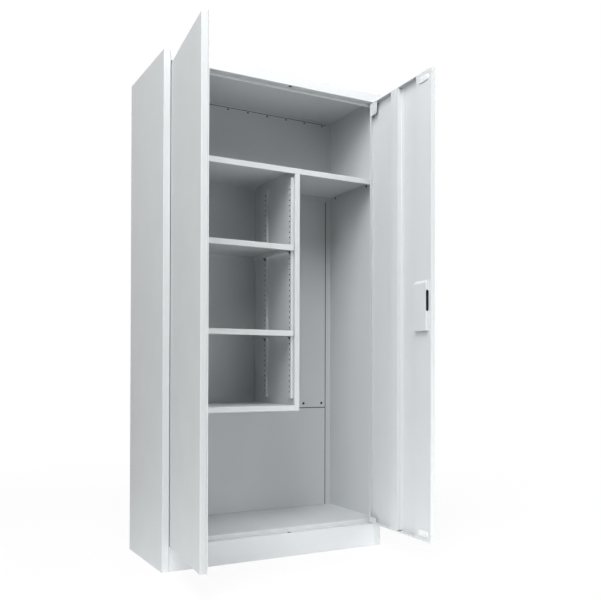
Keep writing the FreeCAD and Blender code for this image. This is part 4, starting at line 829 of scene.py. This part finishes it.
# %% Handle plate
ROSETTE_HALF_WIDE, ROSETTE_TOP, ROSETTE_FOOT, ROSETTE_CORNER = 0.023, 0.040, -0.090, 0.0115
PLATE_SCREW_RADIUS, PLATE_SCREW_LEVEL = 0.0034, 0.0029
UPPER_SCREW_INSIDE, LOWER_SCREW_INSIDE = 0.010, 0.014


def rosette():
    """The plate, with its bevelled rim: each ring lies a little further in and a little higher."""
    half_high = (ROSETTE_TOP - ROSETTE_FOOT) / 2
    rim = ((0, -0.0001), (0, 0.0012), (0.0005, 0.0021), (0.0014, 0.0027), (0.0026, PLATE_SCREW_LEVEL))
    layers = [(ROSETTE_HALF_WIDE - inset, half_high - inset, ROSETTE_CORNER - inset, level)
              for inset, level in rim]
    middle = lock_height + (ROSETTE_TOP + ROSETTE_FOOT) / 2
    return laid(skin(stacked(layers, around=48)), outside_door("right", LOCK_AT, middle))


def plate_screw(height):
    """A round-headed screw of the plate, with its socket, so far above the hub."""
    head = screw_head(PLATE_SCREW_RADIUS, PLATE_SCREW_LEVEL)
    return laid(head, outside_door("right", LOCK_AT, lock_height + height))


plate = make_piece("handle_rosette", [rosette()], "black_plastic", "right_door")
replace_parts(plate, "handle_plate")
screw_heights = (ROSETTE_FOOT + LOWER_SCREW_INSIDE, ROSETTE_TOP - UPPER_SCREW_INSIDE)
plate_screws = [plate_screw(height) for height in screw_heights]
make_piece("handle_rosette_screws", plate_screws, "zinc_steel", "right_door")

# %% [markdown]
# The lever leaves the hub, steps away from the door in a soft crank and ends in a rounded tip.  A
# curve with a bevel object would give it one section from end to end.  Here the section is a
# rounded bar whose height and thickness follow the path: at the tip the height runs out on a
# quarter circle and the thickness halves, and the middle is a tenth slimmer, for the hand.

# %% Lever and hub
HUB_RADIUS, HUB_SEAT, HUB_FRONT = 0.0140, 0.0033, 0.0130
LEVER_LENGTH, LEVER_FRONT, LEVER_THICK, LEVER_HIGH = 0.105, 0.028, 0.008, 0.020
CRANK_START, CRANK_LENGTH, TIP_LENGTH = 0.009, 0.021, 0.010
WAIST_START, WAIST_LENGTH, WAIST_DEPTH = 0.010, 0.070, 0.10
BAR_START, CRANK_RINGS_TO, STRAIGHT_FROM, BEFORE_TIP = 0.0085, 0.034, 0.037, 0.002
RINGS_IN_CRANK, RINGS_IN_STRAIGHT, RINGS_IN_TIP = 14, 8, 9
TIP_NEARLY_SHUT, TIP_FLATTENS, EDGE_ROUND = 0.995, 0.75, 0.85


def hub():
    """A turned hub with rolled edges, the pocket of the lock cylinder and the bearing behind it."""
    return turned([
        (0.0090, -0.0008), (0.0090, HUB_SEAT), (0.0130, HUB_SEAT), (0.0138, HUB_SEAT + 0.0008),
        (HUB_RADIUS, 0.0060), (HUB_RADIUS, 0.0108), (0.0136, 0.0122), (0.0126, HUB_FRONT),
        (0.0074, HUB_FRONT), (0.0066, 0.0126), (0.00608, 0.0120), (0.00608, 0.0077),
    ], around=48)


def lever():
    """The cranked bar, from inside the hub to its tip.

    The crank eases in and out: three squares of its share less two cubes.  The waist is half a
    sine wave, and the tip's height is the root of one less the square of the way into the tip.
    """
    tip = LEVER_LENGTH - TIP_LENGTH
    cranked = np.linspace(BAR_START, CRANK_RINGS_TO, RINGS_IN_CRANK)
    straight = np.linspace(STRAIGHT_FROM, tip - BEFORE_TIP, RINGS_IN_STRAIGHT)
    rounded = tip + TIP_LENGTH * np.sin(np.linspace(0, np.pi / 2, RINGS_IN_TIP))
    reach = np.concatenate([cranked, straight, rounded])
    share = np.clip((reach - CRANK_START) / CRANK_LENGTH, 0, 1)
    crank = share ** 2 * (3 - 2 * share)
    start, end = (HUB_SEAT + HUB_FRONT) / 2, LEVER_FRONT - LEVER_THICK / 2
    path = np.stack([-reach, np.zeros_like(reach), start + (end - start) * crank], axis=-1)
    to_tip = np.clip((reach - tip) / TIP_LENGTH, 0, TIP_NEARLY_SHUT)
    shrink = np.sqrt(1 - to_tip ** 2)
    waist = 1 - WAIST_DEPTH * np.sin(np.pi * np.clip((reach - WAIST_START) / WAIST_LENGTH, 0, 1))
    half_high = LEVER_HIGH / 2 * waist * shrink
    half_thick = LEVER_THICK / 2 * np.sqrt(1 - TIP_FLATTENS * to_tip ** 2)
    corner = np.minimum(half_thick, half_high) * EDGE_ROUND
    return swept(path, (0, 1, 0), half_thick, half_high, corner, around=32)


handle_spot = outside_door("right", LOCK_AT, lock_height)
handle = make_piece("lever_handle", [laid(skin(hub()), handle_spot), laid(skin(lever()), handle_spot)],
                    "black_plastic", "handle")
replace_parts(handle, "door_handle")

# %% [markdown]
# The lock cylinder is a short plug with a narrow keyway.  A Boolean would cut the keyway, but it
# leaves long thin faces round it.  Here the rings start on the keyway's floor as a slim rounded
# rectangle, widen over the face and end as circles.

# %% Lock cylinder
KEY_RADIUS, KEY_BACK, KEY_FRONT = 0.0060, 0.0080, 0.0140
key_layers = [
    (0.0009, 0.0039, 0.0005, 0.0100),
    (0.0009, 0.0039, 0.0005, 0.0136),
    (0.0012, 0.0042, 0.0007, KEY_FRONT),
    (0.0054, 0.0054, 0.0054, KEY_FRONT),
    (KEY_RADIUS, KEY_RADIUS, KEY_RADIUS, 0.0135),
    (KEY_RADIUS, KEY_RADIUS, KEY_RADIUS, KEY_BACK),
]
cylinder = make_piece("lock_cylinder", [laid(skin(stacked(key_layers, around=48)), handle_spot)],
                      "chromed_lock", "key")
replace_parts(cylinder, "key_plug")

# %% [markdown]
# ## Bushes of the rod holes
#
# The lock rods shoot into the plinth and into the roof's ledge.  A black bush lines each hole, so
# that the rod doesn't scratch the paint.  Solidify would give a tube its wall, but no collar.  Here
# the outline goes down the bore and back up the outside, and the last ring joins the first, so
# there are no ends to close.

# %% Bushes
ROD_X, ROD_BEHIND_FRONT, FASCIA_HIGH = 0.0445, 0.010, 0.034
BUSH_OUTER, BUSH_INNER, BUSH_COLLAR, BUSH_LENGTH, COLLAR_RISE = 0.0053, 0.0047, 0.0066, 0.0110, 0.0005


def bush():
    """Down the bore, out, up the outside and round the collar, back to the start."""
    return skin(turned([
        (BUSH_INNER, COLLAR_RISE), (BUSH_INNER, -BUSH_LENGTH), (BUSH_OUTER, -BUSH_LENGTH),
        (BUSH_OUTER, 0.0), (BUSH_COLLAR, 0.0), (BUSH_COLLAR, COLLAR_RISE * 0.7),
        (BUSH_COLLAR - 0.0003, COLLAR_RISE),
    ], around=32), endless=True)


rod_y = FRONT + ROD_BEHIND_FRONT
plinth_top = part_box("plinth")[1][2]
ledge_under = HEIGHT - FASCIA_HIGH
bushes = [laid(bush(), ((ROD_X, rod_y, plinth_top), (1, 0, 0), (0, 1, 0), (0, 0, 1))),
          laid(bush(), ((ROD_X, rod_y, ledge_under), (-1, 0, 0), (0, 1, 0), (0, 0, -1)))]
make_piece("rod_hole_bushes", bushes, "black_plastic", "carcass")

# %% [markdown]
# ## Floor
#
# A catalogue room is white all round.  Light enough to burn the floor to white would burn the
# cupboard too, so the white is only for the camera: the Light Path node tells a ray of the camera,
# or one that a gloss or a glass sends, from the light itself.  Near the object the floor is mostly
# glow and a little matt, which keeps a faint shadow, and far off it is all glow.
#
# The light itself meets another floor.  It bounces off a bright patch in front of the doors, as
# off a white card, and hardly off the rest, so the undersides and the sides keep their shade.

# %% What sees the backdrop
BACKDROP_WHITE, FLOOR_SEEN = 1.0, 0.82
FLOOR_SIZE, FLOOR_BELOW = 60, 0.0005
FLOOR_BOUNCE_NEAR, FLOOR_BOUNCE_FAR = 0.95, 0.05
BOUNCE_MIDDLE, BOUNCE_REACH = (0.05, -0.60, 0), (0.7, 1.5)
GLOW_NEAR, GLOW_REACH = 0.88, (1.0, 3.6)


def sees_backdrop(tree):
    """One where the camera, a gloss or a glass ray looks, and nought for the light itself."""
    path = tree.nodes.new("ShaderNodeLightPath").outputs
    camera_or_gloss = math_node(tree, "MAXIMUM", path["Is Camera Ray"], path["Is Glossy Ray"])
    return math_node(tree, "MAXIMUM", camera_or_gloss, path["Is Transmission Ray"])


def map_range(tree, value, low, high, from_low=0.0, from_high=1.0):
    """A value turned smoothly from one range into another; low and high may be sockets."""
    node = tree.nodes.new("ShaderNodeMapRange")
    node.interpolation_type = "SMOOTHSTEP"
    node.inputs["From Min"].default_value = from_low
    node.inputs["From Max"].default_value = from_high
    tree.links.new(value, node.inputs["Value"])
    for name, end in (("To Min", low), ("To Max", high)):
        if isinstance(end, float):
            node.inputs[name].default_value = end
        else:
            tree.links.new(end, node.inputs[name])
    return node.outputs["Result"]


def distance_from(tree, middle):
    """How far a point of the floor lies from a middle."""
    place = tree.nodes.new("ShaderNodeTexCoord")
    distance = tree.nodes.new("ShaderNodeVectorMath")
    distance.operation = "DISTANCE"
    tree.links.new(place.outputs["Object"], distance.inputs[0])
    distance.inputs[1].default_value = middle
    return distance.outputs["Value"]


def seen_or_lit(tree, seen, lit_surface, seen_surface):
    """One surface for the light, another for what sees the backdrop."""
    mix = tree.nodes.new("ShaderNodeMixShader")
    tree.links.new(seen, mix.inputs["Fac"])
    tree.links.new(lit_surface, mix.inputs[1])
    tree.links.new(seen_surface, mix.inputs[2])
    return mix.outputs["Shader"]


print("the bright patch fades between %.1f and %.1f m from its middle" % BOUNCE_REACH)

# %% [markdown]
# The floor is one wide plane, half a millimetre below the cupboard, so that their faces don't
# flicker in the same place.

# %% Pale floor
def pale_floor():
    """A pale floor that looks white and keeps a faint shadow of the object."""
    bpy.ops.mesh.primitive_plane_add(size=FLOOR_SIZE, location=(0, 0, -FLOOR_BELOW))
    floor = bpy.context.object
    floor.name = "floor"
    material = bpy.data.materials.new("pale_floor")
    material.use_nodes = True
    tree = material.node_tree
    tree.nodes.clear()
    output = tree.nodes.new("ShaderNodeOutputMaterial")
    seen = sees_backdrop(tree)
    from_card = distance_from(tree, BOUNCE_MIDDLE)
    bounce = map_range(tree, from_card, FLOOR_BOUNCE_NEAR, FLOOR_BOUNCE_FAR, *BOUNCE_REACH)
    matt = tree.nodes.new("ShaderNodeBsdfDiffuse")
    tree.links.new(map_range(tree, seen, bounce, FLOOR_SEEN), matt.inputs["Color"])
    glow = tree.nodes.new("ShaderNodeEmission")
    glow.inputs["Strength"].default_value = BACKDROP_WHITE
    share = map_range(tree, distance_from(tree, (0, 0, 0)), GLOW_NEAR, 1.0, *GLOW_REACH)
    share = math_node(tree, "MULTIPLY", share, seen)
    surface = seen_or_lit(tree, share, matt.outputs["BSDF"], glow.outputs["Emission"])
    tree.links.new(surface, output.inputs["Surface"])
    floor.data.materials.append(material)
    return floor


floor = pale_floor()
print(floor.name, "is", FLOOR_SIZE, "m wide and glows from", GLOW_REACH[0], "m on")

# %% [markdown]
# ## World
#
# The world does the same with the Light Path node: white where the camera, a gloss or a glass
# looks, and a very weak, slightly cool light everywhere else, so that no corner goes black.

# %% White world
WORLD_LEVEL, WORLD_COLOUR = 0.06, (0.96, 0.98, 1.0)


def white_world():
    """White where the camera looks, soft light everywhere else."""
    world = bpy.data.worlds.new("backdrop")
    bpy.context.scene.world = world
    world.use_nodes = True
    tree = world.node_tree
    tree.nodes.clear()
    output = tree.nodes.new("ShaderNodeOutputWorld")
    shades = []
    for colour, strength in ((WORLD_COLOUR, WORLD_LEVEL), ((1, 1, 1), BACKDROP_WHITE)):
        background = tree.nodes.new("ShaderNodeBackground")
        background.inputs["Color"].default_value = (*colour, 1)
        background.inputs["Strength"].default_value = strength
        shades.append(background.outputs["Background"])
    surface = seen_or_lit(tree, sees_backdrop(tree), *shades)
    tree.links.new(surface, output.inputs["Surface"])
    return world


print(white_world().name, "lights at", WORLD_LEVEL)

# %% [markdown]
# ## Lamps
#
# Large square lamps give the soft edges of a studio.  Each is (degrees left of the front, degrees
# up, distance, size in metres, level, height aimed at).  The level is plain: a face square to one
# lamp of level 1 renders as its colour is written.  The two high ones and the left fill give more
# than half of the light: under the high ones the roof and the shelves throw the inside into shade.
# The near one hangs above the open doors and lights their insides.  The low one stands near the
# floor, right of the middle, and lifts the plinth and the floor panel, which the doors keep the
# high ones from.  The others only lift what those leave dark.

# %% Soft lamps
WAIST, ANKLE = HEIGHT / 2, 0.12
LAMPS = {
    "key_high_left": (45, 56, 5.0, 2.4, 0.46, WAIST),
    "key_high_front": (25, 42, 5.0, 2.4, 0.38, WAIST),
    "near_front": (18, 53, 2.12, 1.0, 0.12, WAIST),
    "low_front": (-20, 6, 2.0, 0.8, 0.16, ANKLE),
    "fill_left": (55, 20, 5.0, 2.6, 0.50, WAIST),
    "fill_front_right": (-28, 40, 5.0, 2.4, 0.20, WAIST),
    "fill_low_right": (-60, 15, 5.0, 2.6, 0.30, WAIST),
    "fill_right": (-100, 25, 5.0, 2.6, 0.30, WAIST),
    "fill_back": (200, 25, 5.0, 2.6, 0.42, WAIST),
}


def soft_lamp(name, azimuth, elevation, distance, size, level, aim_height):
    """A square lamp aimed at the cupboard's middle line.

    Its power is the level times the square of pi times the distance, because a square lamp sends
    a face square to it its power divided by pi and by the distance squared, and a matt face sends
    a further pi-th part of that to the eye.
    """
    around, up = math.radians(azimuth), math.radians(elevation)
    aim = Vector((0, 0, aim_height))
    away = Vector((-math.sin(around) * math.cos(up), -math.cos(around) * math.cos(up), math.sin(up)))
    data = bpy.data.lights.new(name, "AREA")
    data.shape = "SQUARE"
    data.size = size
    data.energy = level * (math.pi * distance) ** 2
    lamp = bpy.data.objects.new(name, data)
    lamp.location = aim + away * distance
    lamp.rotation_euler = away.to_track_quat("Z", "Y").to_euler()
    bpy.context.scene.collection.objects.link(lamp)
    return lamp


for name, placing in LAMPS.items():
    lamp = soft_lamp(name, *placing)
    print("%-17s %4.0f W at %s" % (name, lamp.data.energy, tuple(round(x, 2) for x in lamp.location)))

# %% [markdown]
# ## The camera
#
# It stands to the left, at table height, about three metres away, and is turned towards the
# cupboard by its three angles.  Its focal length is given in pixels, and the point that it looks
# straight at isn't the middle of the picture, so the lens is shifted by the difference.

# %% Place the camera
PICTURE_WIDTH, PICTURE_HEIGHT = 601, 600
FOCAL_PIXELS = 758.36
CENTRE_PIXEL = (313.5, 365.86)
CAMERA_PLACE = Vector((-1.26533, -2.72335, 0.69147))
YAW, PITCH, ROLL = math.radians(29.16), math.radians(0.42), math.radians(0.15)


def place_camera():
    """Set up the camera from its place, its turns and its focal length in pixels.

    It looks along forward.  The roll mixes its right and its up by a cosine and a sine.
    """
    data = bpy.data.cameras.new("camera")
    camera = bpy.data.objects.new("camera", data)
    bpy.context.scene.collection.objects.link(camera)
    bpy.context.scene.camera = camera
    data.sensor_fit = "HORIZONTAL"
    data.sensor_width = 36.0
    data.lens = FOCAL_PIXELS * data.sensor_width / PICTURE_WIDTH
    data.shift_x = -(CENTRE_PIXEL[0] - PICTURE_WIDTH / 2) / PICTURE_WIDTH
    data.shift_y = (CENTRE_PIXEL[1] - PICTURE_HEIGHT / 2) / PICTURE_WIDTH
    forward = Vector((math.sin(YAW) * math.cos(PITCH), math.cos(YAW) * math.cos(PITCH), math.sin(PITCH)))
    right = Vector((math.cos(YAW), -math.sin(YAW), 0))
    up = right.cross(forward)
    turned_right = right * math.cos(ROLL) + up * math.sin(ROLL)
    turned_up = up * math.cos(ROLL) - right * math.sin(ROLL)
    axes = Matrix((turned_right, turned_up, -forward)).transposed()
    camera.matrix_world = Matrix.Translation(CAMERA_PLACE) @ axes.to_4x4()
    bpy.context.scene.view_settings.view_transform = "Standard"
    return data


optics = place_camera()
print("lens %.2f mm, shifted %.4f and %.4f" % (optics.lens, optics.shift_x, optics.shift_y))
